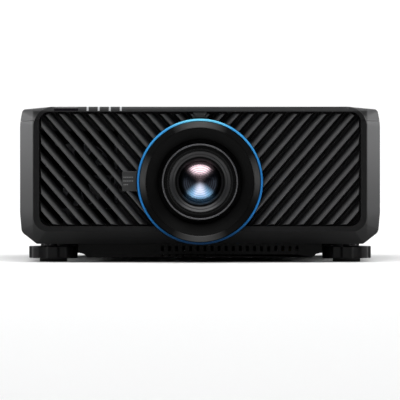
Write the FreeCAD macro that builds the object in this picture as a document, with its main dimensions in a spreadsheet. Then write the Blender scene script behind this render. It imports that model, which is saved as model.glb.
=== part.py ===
"""Installation projector as a parametric document: casing, lens on a shift stage, engine, fan, feet and keys.

Frame: +X to the right and +Y to the rear as one faces the lens, +Z up, origin on the table under the centre.
Millimetres.
"""

import FreeCAD, Part
import math
import os
import re
import Sketcher

Vector = FreeCAD.Vector
Rotation = FreeCAD.Rotation

SIZES = {
    # casing, seen from the front: half widths from the centre line, heights above the table
    "case_half": 240, "case_top": 206.8, "seam_height": 188, "base_height": 24.3, "belly_height": 6.3,
    "shoulder_half": 201.3, "shoulder_drop": 3.2, "edge_half": 234.5, "edge_drop": 7.8, "lip_half": 238.6,
    "side_low": 62, "corner_half": 239.3, "corner_high": 50, "corner_in_half": 236.8, "corner_in_high": 38.8,
    "floor_half": 217.6, "wall": 3, "sheet": 2, "seam_gap": 0.5, "panel_gap": 0.3,
    # places along the depth
    "ring_face": -255, "bezel_face": -243, "front_shoulder": -217, "belly_back": -214, "rear_face": 255,
    "panel_front": 247, "panel_back": 249.5, "chassis_front": -213.7, "chassis_back": 246.7,
    "plate_front": 238, "plate_back": 239.6, "board_back": 237.6,
    # bezel outline and the opening for the grille
    "bezel_half": 221.3, "bezel_low": 41.3, "bezel_low_half": 204, "grille_half": 213.3, "grille_top": 199.7,
    "grille_low": 48.1, "grille_corner_half": 201.3, "collar": 3, "collar_back": -231.2,
    # belly
    "belly_side": 162.5, "belly_side_low": 12.6, "belly_knee": 154.5, "belly_knee_high": 10.8,
    "belly_half": 150.5,
    "vent_first": -50, "vent_pitch": 9.44, "vent_width": 3.6, "vent_low": 14.7, "vent_high": 21.5,
    "drain_width": 2.7, "drain_low": 7.6, "drain_high": 10,
    # grille
    "grille_plate_back": -228.5, "grille_plate_front": -231, "rib_front": -239.6, "rib_pitch": 14.6,
    "rib_base": 11, "rib_crest": 3.4, "rib_lean": 49.2, "rib_length": 290, "rib_half": 197.6,
    "rib_height": 148.8,
    "exhaust_left": -213, "exhaust_right": -109.5, "exhaust_low": 52, "exhaust_high": 174.5,
    # lens opening, ring and surround
    "lens_height": 107.1, "ring_radius": 84, "ring_inner": 80.3, "ring_hole": 84.5,
    "dish_outer": 72.3, "dish_inner": 55.3,
    # side vents and the filter opening
    "slot_width": 6, "slot_pitch": 15, "slot_low": 68, "slot_high": 168, "slot_shift": 60,
    "filter_front": -122, "filter_back": 102, "filter_low": 60, "filter_high": 172,
    # feet
    "foot_half": 197, "foot_front": -175, "foot_rear": 195,
    "knob_radius": 32.7, "knob_low": 4.8, "knob_high": 20.9,
    "pad_radius": 18.5, "pad_high": 4.7, "stud_radius": 5, "stud_top": 62, "bush_radius": 9, "bush_top": 41,
    # lens barrel and its rings
    "barrel_radius": 50.6, "bore_radius": 41.08, "cell_radius": 41, "flange_radius": 62, "tail_radius": 30,
    "tooth_module": 1.5, "gear_radius": 57, "pinion_radius": 9, "gear_bore": 50.66, "motor_radius": 6.5,
    # shift stage, across and up from the lens axis
    "rod_radius": 3, "rod_across": 73, "rod_up": 72, "screw_radius": 2.5, "screw_across": 91, "screw_up": 85,
    # threaded inserts for a ceiling bracket
    "mount_half": 120, "mount_front": -130, "mount_rear": 130,
    "insert_radius": 6, "insert_hole": 3, "insert_top": 18,
}
RING_TEETH = 76
PINION_TEETH = 12
PINION_SIDES = {"focus": 1, "zoom": -1}
VENT_COUNT = 20
RIB_COUNT = 20
SCALLOPS = 8
BLADES = 9
FINS = 12

doc = FreeCAD.newDocument("projector")
dims = doc.addObject("Spreadsheet::Sheet", "dims")
for row, (alias, size) in enumerate(SIZES.items(), start=1):
    dims.set(f"A{row}", alias)
    dims.set(f"B{row}", str(size))
    dims.setAlias(f"B{row}", alias)
doc.recompute()


# ---- helpers: every size is an expression on the sheet's cells ----

def terms(expression):
    """The expression with the sheet's name put before each cell's name."""
    return re.sub(r"[a-z_]+", lambda word: f"dims.{word[0]}" if word[0] in SIZES else word[0],
                  str(expression))


def place(thing, x=0, y=0, z=0):
    for axis, value in zip("xyz", (x, y, z)):
        thing.setExpression(f"Placement.Base.{axis}", terms(value))
    return thing


def box(name, x, y, z):
    """A block between two places on each axis."""
    made = doc.addObject("Part::Box", name)
    for side, (low, high) in zip(("Length", "Width", "Height"), (x, y, z)):
        made.setExpression(side, terms(f"({high}) - ({low})"))
    return place(made, x[0], y[0], z[0])


def rod(name, axis, centre, radius, span):
    """A round bar along an axis. centre holds the other two coordinates, in x, y, z order."""
    turn = {"x": Rotation(Vector(0, 1, 0), 90), "y": Rotation(Vector(1, 0, 0), -90), "z": Rotation()}[axis]
    made = doc.addObject("Part::Cylinder", name)
    made.setExpression("Radius", terms(radius))
    made.setExpression("Height", terms(f"({span[1]}) - ({span[0]})"))
    made.Placement = FreeCAD.Placement(Vector(), turn)
    start = list(centre)
    start.insert("xyz".index(axis), span[0])
    return place(made, *start)


def ball(name, centre, radius):
    made = doc.addObject("Part::Sphere", name)
    made.setExpression("Radius", terms(radius))
    return place(made, *centre)


def fuse(name, *shapes):
    made = doc.addObject("Part::MultiFuse", name)
    made.Shapes = list(shapes)
    return made


def group(name, *shapes):
    """Separate solids in one node."""
    made = doc.addObject("Part::Compound", name)
    made.Links = list(shapes)
    return made


def common(name, *shapes):
    made = doc.addObject("Part::MultiCommon", name)
    made.Shapes = list(shapes)
    return made


def cut(name, base, *tools):
    made = doc.addObject("Part::Cut", name)
    made.Base = base
    made.Tool = tools[0] if len(tools) == 1 else group(name + "_tools", *tools)
    return made


def mirrored(name, source):
    """The same piece on the other side of the centre line."""
    made = doc.addObject("Part::Mirroring", name)
    made.Source = source
    made.Normal = (1, 0, 0)
    return made


def outline(owner, name, plane, points, offset):
    """A closed polygon in a sketch, each corner held by its two distances from the origin."""
    drawn = owner.newObject("Sketcher::SketchObject", name)
    origin_plane = next(f for f in owner.Origin.OriginFeatures if f.Role == plane + "_Plane")
    drawn.AttachmentSupport = [(origin_plane, "")]
    drawn.MapMode = "FlatFace"
    drawn.setExpression("AttachmentOffset.Base.z", terms(offset))
    count = len(points)
    start = [Vector(math.cos(2 * math.pi * k / count), math.sin(2 * math.pi * k / count)) * 100
             for k in range(count)]
    for k in range(count):
        drawn.addGeometry(Part.LineSegment(start[k], start[(k + 1) % count]), False)
    for k in range(count):
        drawn.addConstraint(Sketcher.Constraint("Coincident", k, 2, (k + 1) % count, 1))
    for k, corner in enumerate(points):
        for kind, now, expression in zip(("DistanceX", "DistanceY"), start[k], corner):
            number = drawn.addConstraint(Sketcher.Constraint(kind, -1, 1, k, 1, now))
            drawn.setExpression(f"Constraints[{number}]", terms(expression))
    return drawn


def padded(name, plane, points, span):
    """A body with one pad of a polygon on XY, XZ or YZ, between two places on the third axis."""
    body = doc.addObject("PartDesign::Body", name)
    offset = f"-({span[1]})" if plane == "XZ" else span[0]
    pad = body.newObject("PartDesign::Pad", name + "_pad")
    pad.Profile = outline(body, name + "_outline", plane, points, offset)
    pad.setExpression("Length", terms(f"({span[1]}) - ({span[0]})"))
    return body


def turned(name, points, x=0, z="lens_height"):
    """A body turned about an axis along Y. points are pairs of place along Y and radius."""
    body = doc.addObject("PartDesign::Body", name)
    turning = body.newObject("PartDesign::Revolution", name + "_turning")
    drawn = outline(body, name + "_outline", "YZ", points, 0)
    turning.Profile = drawn
    turning.ReferenceAxis = (drawn, ["H_Axis"])
    turning.Angle = 360
    return place(body, x, 0, z)


def lofted(name, front, back, y_front, y_back):
    """A ruled solid between two outlines with the same number of corners."""
    body = doc.addObject("PartDesign::Body", name)
    loft = body.newObject("PartDesign::AdditiveLoft", name + "_loft")
    loft.Profile = outline(body, name + "_front", "XZ", front, f"-({y_front})")
    loft.Sections = [outline(body, name + "_back", "XZ", back, f"-({y_back})")]
    loft.Ruled = True
    return body


def polar(body, feature, axis, count):
    """Repeats a body's feature around one of its own axes."""
    pattern = body.newObject("PartDesign::PolarPattern", feature.Name + "_pattern")
    pattern.Originals = [feature]
    pattern.Axis = (next(f for f in body.Origin.OriginFeatures if f.Role == axis + "_Axis"), [""])
    pattern.Angle = 360
    pattern.Occurrences = count
    body.Tip = pattern
    return pattern


def both_sides(right):
    """A symmetric closed outline from its right half, listed from the top down."""
    return right + [(f"-({x})", z) for x, z in reversed(right)]


nodes = {}


def node(label, made):
    """Names a finished piece. The label is also its file's name."""
    made.Label = label
    nodes[label] = made
    return made


# ---- casing ----

def case_outline(inset):
    """Half outline of the casing behind its front chamfer, from the top centre round to the floor."""
    return [
        ("shoulder_half", f"case_top - {inset}"),
        (f"edge_half - {inset} * 0.6", f"case_top - shoulder_drop - {inset}"),
        (f"lip_half - {inset}", f"case_top - edge_drop - {inset} * 0.6"),
        (f"case_half - {inset}", "seam_height"),
        (f"case_half - {inset}", "side_low"),
        (f"corner_half - {inset}", "corner_high"),
        (f"corner_in_half - {inset} * 0.8", f"corner_in_high + {inset} * 0.6"),
        (f"floor_half - {inset} * 0.3", f"base_height + {inset}"),
    ]


def bezel_outline(inset):
    """Half outline of the flat front of the bezel."""
    return [
        (f"shoulder_half - {inset} * 0.3", f"case_top - {inset}"),
        (f"bezel_half - 5.3 - {inset} * 0.8", f"case_top - 7.1 - {inset} * 0.8"),
        (f"bezel_half - 1.5 - {inset}", f"case_top - 11.8 - {inset} * 0.4"),
        (f"bezel_half - {inset}", "seam_height"),
        (f"bezel_half - {inset}", "bezel_low + 18.7"),
        (f"bezel_half - 1.4 - {inset}", f"bezel_low + 12.3 + {inset} * 0.2"),
        (f"bezel_half - 4.5 - {inset} * 0.8", f"bezel_low + 6.7 + {inset} * 0.6"),
        (f"bezel_low_half - {inset} * 0.3", f"bezel_low + {inset}"),
    ]


def opening_outline(grow):
    """Half outline of the grille opening."""
    return [
        (f"grille_corner_half + {grow} * 0.4", f"grille_top + {grow}"),
        (f"grille_half + {grow}", f"seam_height + {grow} * 0.4"),
        (f"grille_half + {grow}", f"side_low - 2 - {grow} * 0.3"),
        (f"grille_half - 3.4 + {grow} * 0.8", f"grille_low + 3.4 - {grow} * 0.6"),
        (f"grille_corner_half + {grow} * 0.3", f"grille_low - {grow}"),
    ]


def belly_outline(inset, top):
    """Half outline of the low middle of the floor."""
    return [
        (f"belly_side - {inset}", top),
        (f"belly_side - {inset}", f"belly_side_low + {inset}"),
        (f"belly_knee - {inset} * 0.6", f"belly_knee_high + {inset}"),
        (f"belly_half - {inset} * 0.6", f"belly_height + {inset}"),
    ]


def front_shell():
    """The chamfered front of the casing with a collar round the grille opening, not yet split at the seam."""
    outer = lofted("front_outer", both_sides(bezel_outline(0)), both_sides(case_outline(0)), "bezel_face",
                   "front_shoulder")
    inner = lofted("front_inner", both_sides(bezel_outline("wall")), both_sides(case_outline("wall")),
                   "bezel_face + wall", "front_shoulder")
    collar = padded("grille_collar", "XZ", both_sides(opening_outline("collar")),
                    ("bezel_face + 1", "collar_back"))
    opening = padded("grille_opening", "XZ", both_sides(opening_outline(0)),
                     ("bezel_face - 1", "collar_back + 1"))
    shell = fuse("front_shell_collar", cut("front_shell", outer, inner), collar)
    return cut("front_shell_open", shell, opening)


def make_front_cover(shell):
    """Bezel sides, lower lip and chamfer, and the belly's front wall with its two rows of vents."""
    below = box("below_seam", ("-case_half - 1", "case_half + 1"), ("bezel_face - 1", "belly_back + 1"),
                (0, "seam_height - seam_gap / 2"))
    lower = common("front_lower", shell, below)
    belly = padded("belly_front", "XZ", both_sides(belly_outline(0, "base_height + wall")),
                   ("front_shoulder - 1", "belly_back"))
    lens_hole = rod("front_lens_hole", "y", (0, "lens_height"), "ring_hole",
                    ("bezel_face - 1", "belly_back + 1"))
    vents = []
    for k in range(VENT_COUNT):
        middle = f"vent_first + {k} * vent_pitch"
        for kind, low, high in (("vent", "vent_low", "vent_high"), ("drain", "drain_low", "drain_high")):
            side = (f"{middle} - {kind}_width / 2", f"{middle} + {kind}_width / 2")
            vents.append(box(f"{kind}_{k}", side, ("front_shoulder - 2", "belly_back + 1"), (low, high)))
    return node("front_cover", cut("front_cover_cut", fuse("front_cover_solid", lower, belly), lens_hole,
                                   *vents))


IR_SPAN = ("-193.7", "-161.5")
LIGHT_PLACES = ("-149.1", "-134.4", "-119.7", "-105.1")
LIGHT_HALF = 1.35
LIGHT_BACK = "bezel_face + 9"
STRIP_LOW = "case_top - 5.8"


def make_top_cover(shell):
    """Roof with rolled edges, joined to the top of the bezel, notched for a window and four lights."""
    above = box("above_seam", ("-case_half - 1", "case_half + 1"), ("bezel_face - 1", "front_shoulder + 1"),
                ("seam_height + seam_gap / 2", "case_top + 1"))
    front = common("top_front", shell, above)
    seam = "seam_height + seam_gap / 2"
    outer = case_outline(0)[:3] + [("case_half", seam)]
    inner = case_outline("wall")[:3] + [("case_half - wall", seam)]
    roof = padded("roof", "XZ", outer + inner[::-1] + [(f"-({x})", z) for x, z in inner + outer[::-1]],
                  ("front_shoulder", "rear_face"))
    back = padded("roof_back", "XZ", both_sides(outer), ("rear_face - wall", "rear_face"))
    window = box("window_notch", IR_SPAN, ("bezel_face - 1", "bezel_face + 3.1"),
                 (STRIP_LOW, "case_top + 1"))
    slots = [
        box(f"light_slot_{k}", (f"{x} - {LIGHT_HALF} - 0.05", f"{x} + {LIGHT_HALF} + 0.05"),
            ("bezel_face - 1", LIGHT_BACK),
            (STRIP_LOW, "case_top + 1"))
        for k, x in enumerate(LIGHT_PLACES)
    ]
    return node("top_cover", cut("top_cover_cut", fuse("top_cover_solid", front, roof, back), window,
                                 *slots))


def slanted_slots(name, x, first, count, low, high):
    """Parallel slots leaning the way the ribs of the grille lean."""
    lean = "slot_shift"
    return [
        padded(f"{name}_{k}", "YZ", [
            (f"{first} + {k} * slot_pitch", low),
            (f"{first} + {k} * slot_pitch + slot_width", low),
            (f"{first} + {k} * slot_pitch + slot_width + {lean}", high),
            (f"{first} + {k} * slot_pitch + {lean}", high),
        ], x)
        for k in range(count)
    ]


def side_shell(name):
    outer = [("case_half", "seam_height - seam_gap / 2")] + case_outline(0)[4:]
    inner = [("case_half - wall", "seam_height - seam_gap / 2")]
    inner += case_outline("wall")[4:7] + [("floor_half", "base_height + 3.8")]
    return padded(name, "XZ", outer + inner[::-1], ("front_shoulder + panel_gap", "rear_face"))


def make_side_covers():
    """Left cover with slanted exhaust slots and right cover with the filter's opening."""
    slots = slanted_slots("side_slot", ("case_half - wall - 1", "case_half + 1"), -170, 15, "slot_low",
                          "slot_high")
    node("side_cover_left", mirrored("side_cover_left_made",
                                     cut("side_vented", side_shell("side_shell_left"), *slots)))
    opening = box("filter_opening", ("case_half - wall - 1", "case_half + 1"),
                  ("filter_front", "filter_back"),
                  ("filter_low", "filter_high"))
    node("side_cover_right", cut("side_opened", side_shell("side_shell_right"), opening))


FEET = {"front_left": ("-foot_half", "foot_front"), "front_right": ("foot_half", "foot_front"),
        "rear_left": ("-foot_half", "foot_rear"), "rear_right": ("foot_half", "foot_rear")}
MOUNTS = [(x, y) for x in ("-mount_half", "mount_half") for y in ("mount_front", "mount_rear")]
FLOOR_SCREWS = [(x, y) for x in (-208, 208) for y in (-110, 10, 120)]
REAR_SCREWS = [(-226, 70), (226, 70), (-226, 176), (226, 176), (-110, 196), (110, 196)]
SCREW_SHANK = 2
SCREW_HEAD = 4


def make_bottom_chassis():
    """Sheet floor with the belly pressed down, holes for the feet, inserts and screws, and intake slots."""
    outer = [("floor_half - 0.4", "base_height")] + belly_outline(0, "base_height")
    inner = [("floor_half - 0.4", "base_height + sheet")] + belly_outline("sheet", "base_height + sheet")
    pan = padded("pan", "XZ", outer + [(f"-({x})", z) for x, z in reversed(outer)]
                 + [(f"-({x})", z) for x, z in inner] + inner[::-1], ("chassis_front", "chassis_back"))
    holes = [rod(f"stud_hole_{foot}", "z", at, "stud_radius + 0.6",
                 ("base_height - 1", "base_height + sheet + 1"))
             for foot, at in FEET.items()]
    holes += [rod(f"insert_seat_{k}", "z", at, "insert_radius + 0.05",
                  ("belly_height - 1", "belly_height + sheet + 1"))
              for k, at in enumerate(MOUNTS)]
    holes += [rod(f"floor_screw_hole_{k}", "z", at, SCREW_SHANK + 0.1,
                  ("base_height - 1", "base_height + sheet + 1"))
              for k, at in enumerate(FLOOR_SCREWS)]
    holes += [box(f"intake_{row}_{k}", (f"-90 + {k} * 14", f"-84 + {k} * 14"),
                  (f"{row} * 90 - 100", f"{row} * 90 - 50"),
                  ("belly_height - 1", "belly_height + sheet + 1")) for row in range(3) for k in range(14)]
    return node("bottom_chassis", cut("pan_cut", pan, *holes))


def make_inserts_and_screws():
    """Threaded bushes for the feet, threaded inserts for a ceiling bracket, and the casing's screws."""
    inserts = []
    for foot, at in FEET.items():
        bush = rod(f"bush_{foot}", "z", at, "bush_radius", ("base_height + sheet + 0.05", "bush_top"))
        bore = rod(f"bush_bore_{foot}", "z", at, "stud_radius + 0.06", ("base_height", "bush_top + 1"))
        inserts.append(cut(f"bush_bored_{foot}", bush, bore))
    for k, at in enumerate(MOUNTS):
        insert = rod(f"insert_{k}", "z", at, "insert_radius", ("belly_height", "insert_top"))
        bore = rod(f"insert_bore_{k}", "z", at, "insert_hole", ("belly_height - 1", "insert_top + 1"))
        inserts.append(cut(f"insert_bored_{k}", insert, bore))
    node("chassis_inserts", group("inserts_made", *inserts))
    screws = []
    for k, at in enumerate(FLOOR_SCREWS):
        shank = rod(f"floor_screw_{k}", "z", at, SCREW_SHANK, ("base_height - 0.1", "base_height + 10"))
        head = rod(f"floor_screw_head_{k}", "z", at, SCREW_HEAD,
                   ("base_height - 2.3", "base_height - 0.05"))
        screws.append(fuse(f"floor_screw_made_{k}", shank, head))
    for k, at in enumerate(REAR_SCREWS):
        shank = rod(f"rear_screw_{k}", "y", at, SCREW_SHANK, ("panel_back - 9", "panel_back + 0.1"))
        head = rod(f"rear_screw_head_{k}", "y", at, SCREW_HEAD, ("panel_back + 0.05", "panel_back + 2.3"))
        screws.append(fuse(f"rear_screw_made_{k}", shank, head))
    node("casing_screws", group("screws_made", *screws))


# ---- front grille, ring and lens surround ----

def rib_field(name):
    """Parallel ribs side by side along X, standing along Z, then leaned over."""
    body = doc.addObject("PartDesign::Body", name)
    rib = body.newObject("PartDesign::Pad", name + "_rib")
    rib.Profile = outline(body, name + "_section", "XY", [
        ("-rib_base / 2", "grille_plate_front + 0.5"),
        ("rib_base / 2", "grille_plate_front + 0.5"),
        ("rib_base / 2 - 1", "grille_plate_front - 4"),
        ("rib_crest / 2", "rib_front"),
        ("-rib_crest / 2", "rib_front"),
        ("-rib_base / 2 + 1", "grille_plate_front - 4"),
    ], "-rib_length / 2")
    rib.setExpression("Length", terms("rib_length"))
    doc.recompute()
    row = body.newObject("PartDesign::LinearPattern", name + "_row")
    row.Originals = [rib]
    row.Direction = (next(f for f in body.Origin.OriginFeatures if f.Role == "X_Axis"), [""])
    row.setExpression("Length", terms(f"rib_pitch * {RIB_COUNT - 1}"))
    row.Occurrences = RIB_COUNT
    body.Tip = row
    # One rib's crest passes through rib_half, rib_height. The field starts six ribs further out.
    body.Placement = FreeCAD.Placement(Vector(), Rotation(Vector(0, 1, 0), -(90 - SIZES["rib_lean"])))
    lean = "(rib_lean * 1 deg)"
    return place(body, f"-rib_half - 6 * rib_pitch / sin{lean} + 154 * cos{lean}", 0,
                 f"rib_height - 154 * sin{lean}")


def make_front_grille():
    """A backing plate, ribs that lean towards the lens from both sides, and the exhaust opening."""
    plate = padded("grille_plate", "XZ", both_sides(opening_outline(2.2)),
                   ("grille_plate_front", "grille_plate_back"))
    exhaust = box("exhaust_opening", ("exhaust_left", "exhaust_right"),
                  ("grille_plate_front - 1", "grille_plate_back + 1"),
                  ("exhaust_low", "exhaust_high"))
    half = padded("rib_area", "XZ",
                  [(f"-({x})", z) for x, z in opening_outline(-0.4)] + [("-0.01", "grille_low + 0.4"),
                  ("-0.01", "grille_top - 0.4")], ("rib_front - 1", "grille_plate_back"))
    ribs = common("ribs_left", rib_field("rib_field"), half)
    tab = padded("grille_tab", "XZ",
                 [(-9.4, "grille_top - 0.4"), (9.4, "grille_top - 0.4"), (6.4, "grille_top - 8.2"),
                 (-6.4, "grille_top - 8.2")], ("rib_front", "grille_plate_back"))
    solid = fuse("grille_solid", cut("grille_plate_open", plate, exhaust), ribs,
                 mirrored("ribs_right", ribs), tab)
    hole = rod("grille_lens_hole", "y", (0, "lens_height"), "ring_hole",
               ("rib_front - 1", "grille_plate_back + 1"))
    return node("front_grille", cut("grille_cut", solid, hole))


def make_ring_and_surround():
    """The coloured trim ring and the dished surround behind it, which the lens looks out of."""
    node("blue_trim_ring", turned("trim_ring", [
        ("ring_face + 0.6", "ring_inner"), ("ring_face", "ring_inner + 0.9"),
        ("ring_face", "ring_radius - 1.2"), ("ring_face + 1.4", "ring_radius"),
        ("ring_face + 6.1", "ring_radius"), ("ring_face + 6.1", "ring_inner")]))
    node("lens_surround", turned("surround", [
        ("ring_face + 0.6", "ring_inner - 0.1"), ("ring_face + 8", "dish_outer"),
        ("ring_face + 15", "dish_inner"), ("ring_face + 25", "dish_inner"),
        ("ring_face + 25", "dish_inner + 2.7"), ("ring_face + 17.2", "dish_inner + 2.7"),
        ("ring_face + 10.5", "dish_outer + 2.2"), ("ring_face + 10.5", "ring_radius - wall"),
        ("belly_back", "ring_radius - wall"), ("belly_back", "ring_radius"),
        ("ring_face + 6.2", "ring_radius"), ("ring_face + 6.2", "ring_inner - 0.1")]))


def make_windows_and_lights():
    """Remote receiver windows at the front and rear, and the four status light guides on the front edge."""
    front = box("window_front", (f"{IR_SPAN[0]} + 0.1", f"{IR_SPAN[1]} - 0.1"),
                ("bezel_face", "bezel_face + 3"),
                (f"{STRIP_LOW} + 0.1", "case_top"))
    rear = rod("window_rear", "y", (-150, 196), 5.9, ("panel_front", "panel_back + 0.6"))
    node("ir_windows", group("windows_made", front, rear))
    guides = [box(f"light_{k}", (f"{x} - {LIGHT_HALF}", f"{x} + {LIGHT_HALF}"),
                  ("bezel_face", f"{LIGHT_BACK} - 0.1"),
                  (f"{STRIP_LOW} + 0.1", "case_top")) for k, x in enumerate(LIGHT_PLACES)]
    node("status_light_guides", group("lights_made", *guides))


# ---- feet ----

def make_foot(foot, at):
    """A scalloped knob on a threaded stud, standing in a pad that doesn't turn with it."""
    x, y = at
    pad = rod(f"pad_disc_{foot}", "z", at, "pad_radius", (0, "pad_high"))
    socket = rod(f"pad_socket_{foot}", "z", at, 8.08, (2, "pad_high + 1"))
    node(f"foot_pad_{foot}", cut(f"pad_made_{foot}", pad, socket))
    body = doc.addObject("PartDesign::Body", f"knob_{foot}")
    disc = body.newObject("PartDesign::AdditiveCylinder", f"knob_disc_{foot}")
    disc.setExpression("Radius", terms("knob_radius"))
    disc.setExpression("Height", terms("knob_high - knob_low"))
    disc.setExpression("AttachmentOffset.Base.z", terms("knob_low"))
    disc.AttachmentSupport = [(next(f for f in body.Origin.OriginFeatures if f.Role == "XY_Plane"), "")]
    disc.MapMode = "FlatFace"
    doc.recompute()
    scallop = body.newObject("PartDesign::SubtractiveCylinder", f"scallop_{foot}")
    scallop.Radius = 10.5
    scallop.setExpression("Height", terms("knob_high"))
    scallop.AttachmentSupport = disc.AttachmentSupport
    scallop.MapMode = "FlatFace"
    scallop.setExpression("AttachmentOffset.Base.x", terms("knob_radius + 7.7"))
    polar(body, scallop, "Z", SCALLOPS)
    body.Placement = FreeCAD.Placement(Vector(), Rotation(Vector(0, 0, 1), 180 / SCALLOPS))
    place(body, x, y)
    stud = rod(f"stud_{foot}", "z", at, "stud_radius", ("knob_high - 1", "stud_top"))
    spigot = rod(f"spigot_{foot}", "z", at, 8, (2.1, "knob_low + 1"))
    node(f"foot_knob_{foot}", fuse(f"knob_made_{foot}", body, stud, spigot))


# ---- lens ----

def toothed(name, teeth, radius, span):
    """A spur gear with straight-flanked teeth, thin enough to run with backlash."""
    body = doc.addObject("PartDesign::Body", name)
    core = body.newObject("PartDesign::Pad", name + "_core")
    ring = body.newObject("Sketcher::SketchObject", name + "_root_circle")
    plane = next(f for f in body.Origin.OriginFeatures if f.Role == "XZ_Plane")
    ring.AttachmentSupport = [(plane, "")]
    ring.MapMode = "FlatFace"
    ring.setExpression("AttachmentOffset.Base.z", terms(f"-({span[1]})"))
    ring.addGeometry(Part.Circle(Vector(), Vector(0, 0, 1), 10), False)
    ring.addConstraint(Sketcher.Constraint("Coincident", 0, 3, -1, 1))
    size = ring.addConstraint(Sketcher.Constraint("Radius", 0, 10))
    ring.setExpression(f"Constraints[{size}]", terms(f"{radius} - 1.15 * tooth_module"))
    core.Profile = ring
    core.setExpression("Length", terms(f"({span[1]}) - ({span[0]})"))
    doc.recompute()
    tooth = body.newObject("PartDesign::Pad", name + "_tooth")
    tooth.Profile = outline(body, name + "_tooth_outline", "XZ", [
        (f"{radius} - 1.45 * tooth_module", "-1.06 * tooth_module"),
        (f"{radius} + 0.8 * tooth_module", "-0.4 * tooth_module"),
        (f"{radius} + 0.8 * tooth_module", "0.4 * tooth_module"),
        (f"{radius} - 1.45 * tooth_module", "1.06 * tooth_module"),
    ], f"-({span[1]})")
    tooth.setExpression("Length", terms(f"({span[1]}) - ({span[0]})"))
    doc.recompute()
    polar(body, tooth, "Y", teeth)
    return body


LENS_GEARS = {"focus": (-206, -192), "zoom": (-178, -164)}


def make_lens_barrel():
    """Barrel with its rim, the seats of its toothed rings, the flange and the tail that enters the engine."""
    node("lens_barrel", turned("barrel", [
        (-250, "barrel_radius - 2.3"), (-250, "barrel_radius"), (-191.5, "barrel_radius"), (-191.5, 54),
        (-178.5, 54), (-178.5, "barrel_radius"), (-163.5, "barrel_radius"), (-163.5, 54), (-136, 54),
        (-136, "flange_radius"), (-128, "flange_radius"), (-128, "tail_radius"), (-100, "tail_radius"),
        (-100, 22), (-160, 22), (-160, "bore_radius"), (-244, "bore_radius"), (-244, "barrel_radius - 2.3")]))


def make_lens_drive(kind):
    """A toothed ring on the barrel, its pinion, and the small motor that turns it."""
    low, high = LENS_GEARS[kind]
    ring = place(toothed(f"{kind}_teeth", RING_TEETH, "gear_radius", (low, high)), 0, 0, "lens_height")
    bore = rod(f"{kind}_ring_bore", "y", (0, "lens_height"), "gear_bore", (low - 1, high + 1))
    node(f"{kind}_ring", cut(f"{kind}_ring_made", ring, bore))
    reach = "(gear_radius + pinion_radius) * cos(45 deg)"
    x, z = f"{PINION_SIDES[kind]} * {reach}", f"lens_height - {reach}"
    pinion = toothed(f"{kind}_pinion_teeth", PINION_TEETH, "pinion_radius", (low + 1, high - 1))
    pinion.Placement = FreeCAD.Placement(Vector(), Rotation(Vector(0, 1, 0), 180 / PINION_TEETH))
    place(pinion, x, 0, z)
    shaft = rod(f"{kind}_shaft", "y", (x, z), 1.5, (high - 1.5, high + 1.4))
    node(f"{kind}_pinion", fuse(f"{kind}_pinion_made", pinion, shaft))
    motor = rod(f"{kind}_motor", "y", (x, z), "motor_radius", (high + 1.5, high + 26.5))
    saddle = box(f"{kind}_saddle", (-4, 4), (0, 2.5), (0, 8))
    saddle.Placement = FreeCAD.Placement(Vector(), Rotation(Vector(0, 1, 0), 180 - PINION_SIDES[kind] * 45))
    arm = "54.3 * cos(45 deg)"
    place(saddle, f"{PINION_SIDES[kind]} * ({arm}) + 4 * cos(45 deg)", high + 1.5,
          f"lens_height - {arm} + {PINION_SIDES[kind]} * 4 * cos(45 deg)")
    return fuse(f"{kind}_motor_made", motor, saddle)


def make_lens_cells():
    """The sliding front cell with its glass, the sliding zoom group, and the fixed rear glass."""
    node("focus_cell", turned("front_cell", [
        (-246, "cell_radius"), (-246, 40), (-240.5, 33), (-240.5, 30.8), (-236.5, 28.6), (-226, 28.6),
        (-226, 26), (-205, 26), (-205, "cell_radius")]))
    cap = ball("front_glass_ball", (0, -197, "lens_height"), 45)
    disc = rod("front_glass_disc", "y", (0, "lens_height"), 28.5, (-243, -226.1))
    node("front_glass", common("front_glass_made", cap, disc))
    cell = turned("zoom_tube", [(-196, "cell_radius"), (-196, 24), (-193, 24), (-193, 26), (-178, 26),
                                (-178, "cell_radius")])
    zoom_ball = ball("zoom_glass_ball", (0, -128, "lens_height"), 65)
    zoom_disc = rod("zoom_glass_disc", "y", (0, "lens_height"), 25.9, (-192.9, -182))
    node("zoom_cell", group("zoom_group", cell, common("zoom_glass", zoom_ball, zoom_disc)))
    rear_ball = ball("rear_glass_ball", (0, -110, "lens_height"), 40)
    rear_disc = rod("rear_glass_disc", "y", (0, "lens_height"), 21.9, (-150, -139))
    node("rear_glass", common("rear_glass_made", rear_ball, rear_disc))


# ---- lens shift stage ----

def up(distance):
    """A height measured from the lens axis."""
    return f"lens_height + ({distance})"


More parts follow.
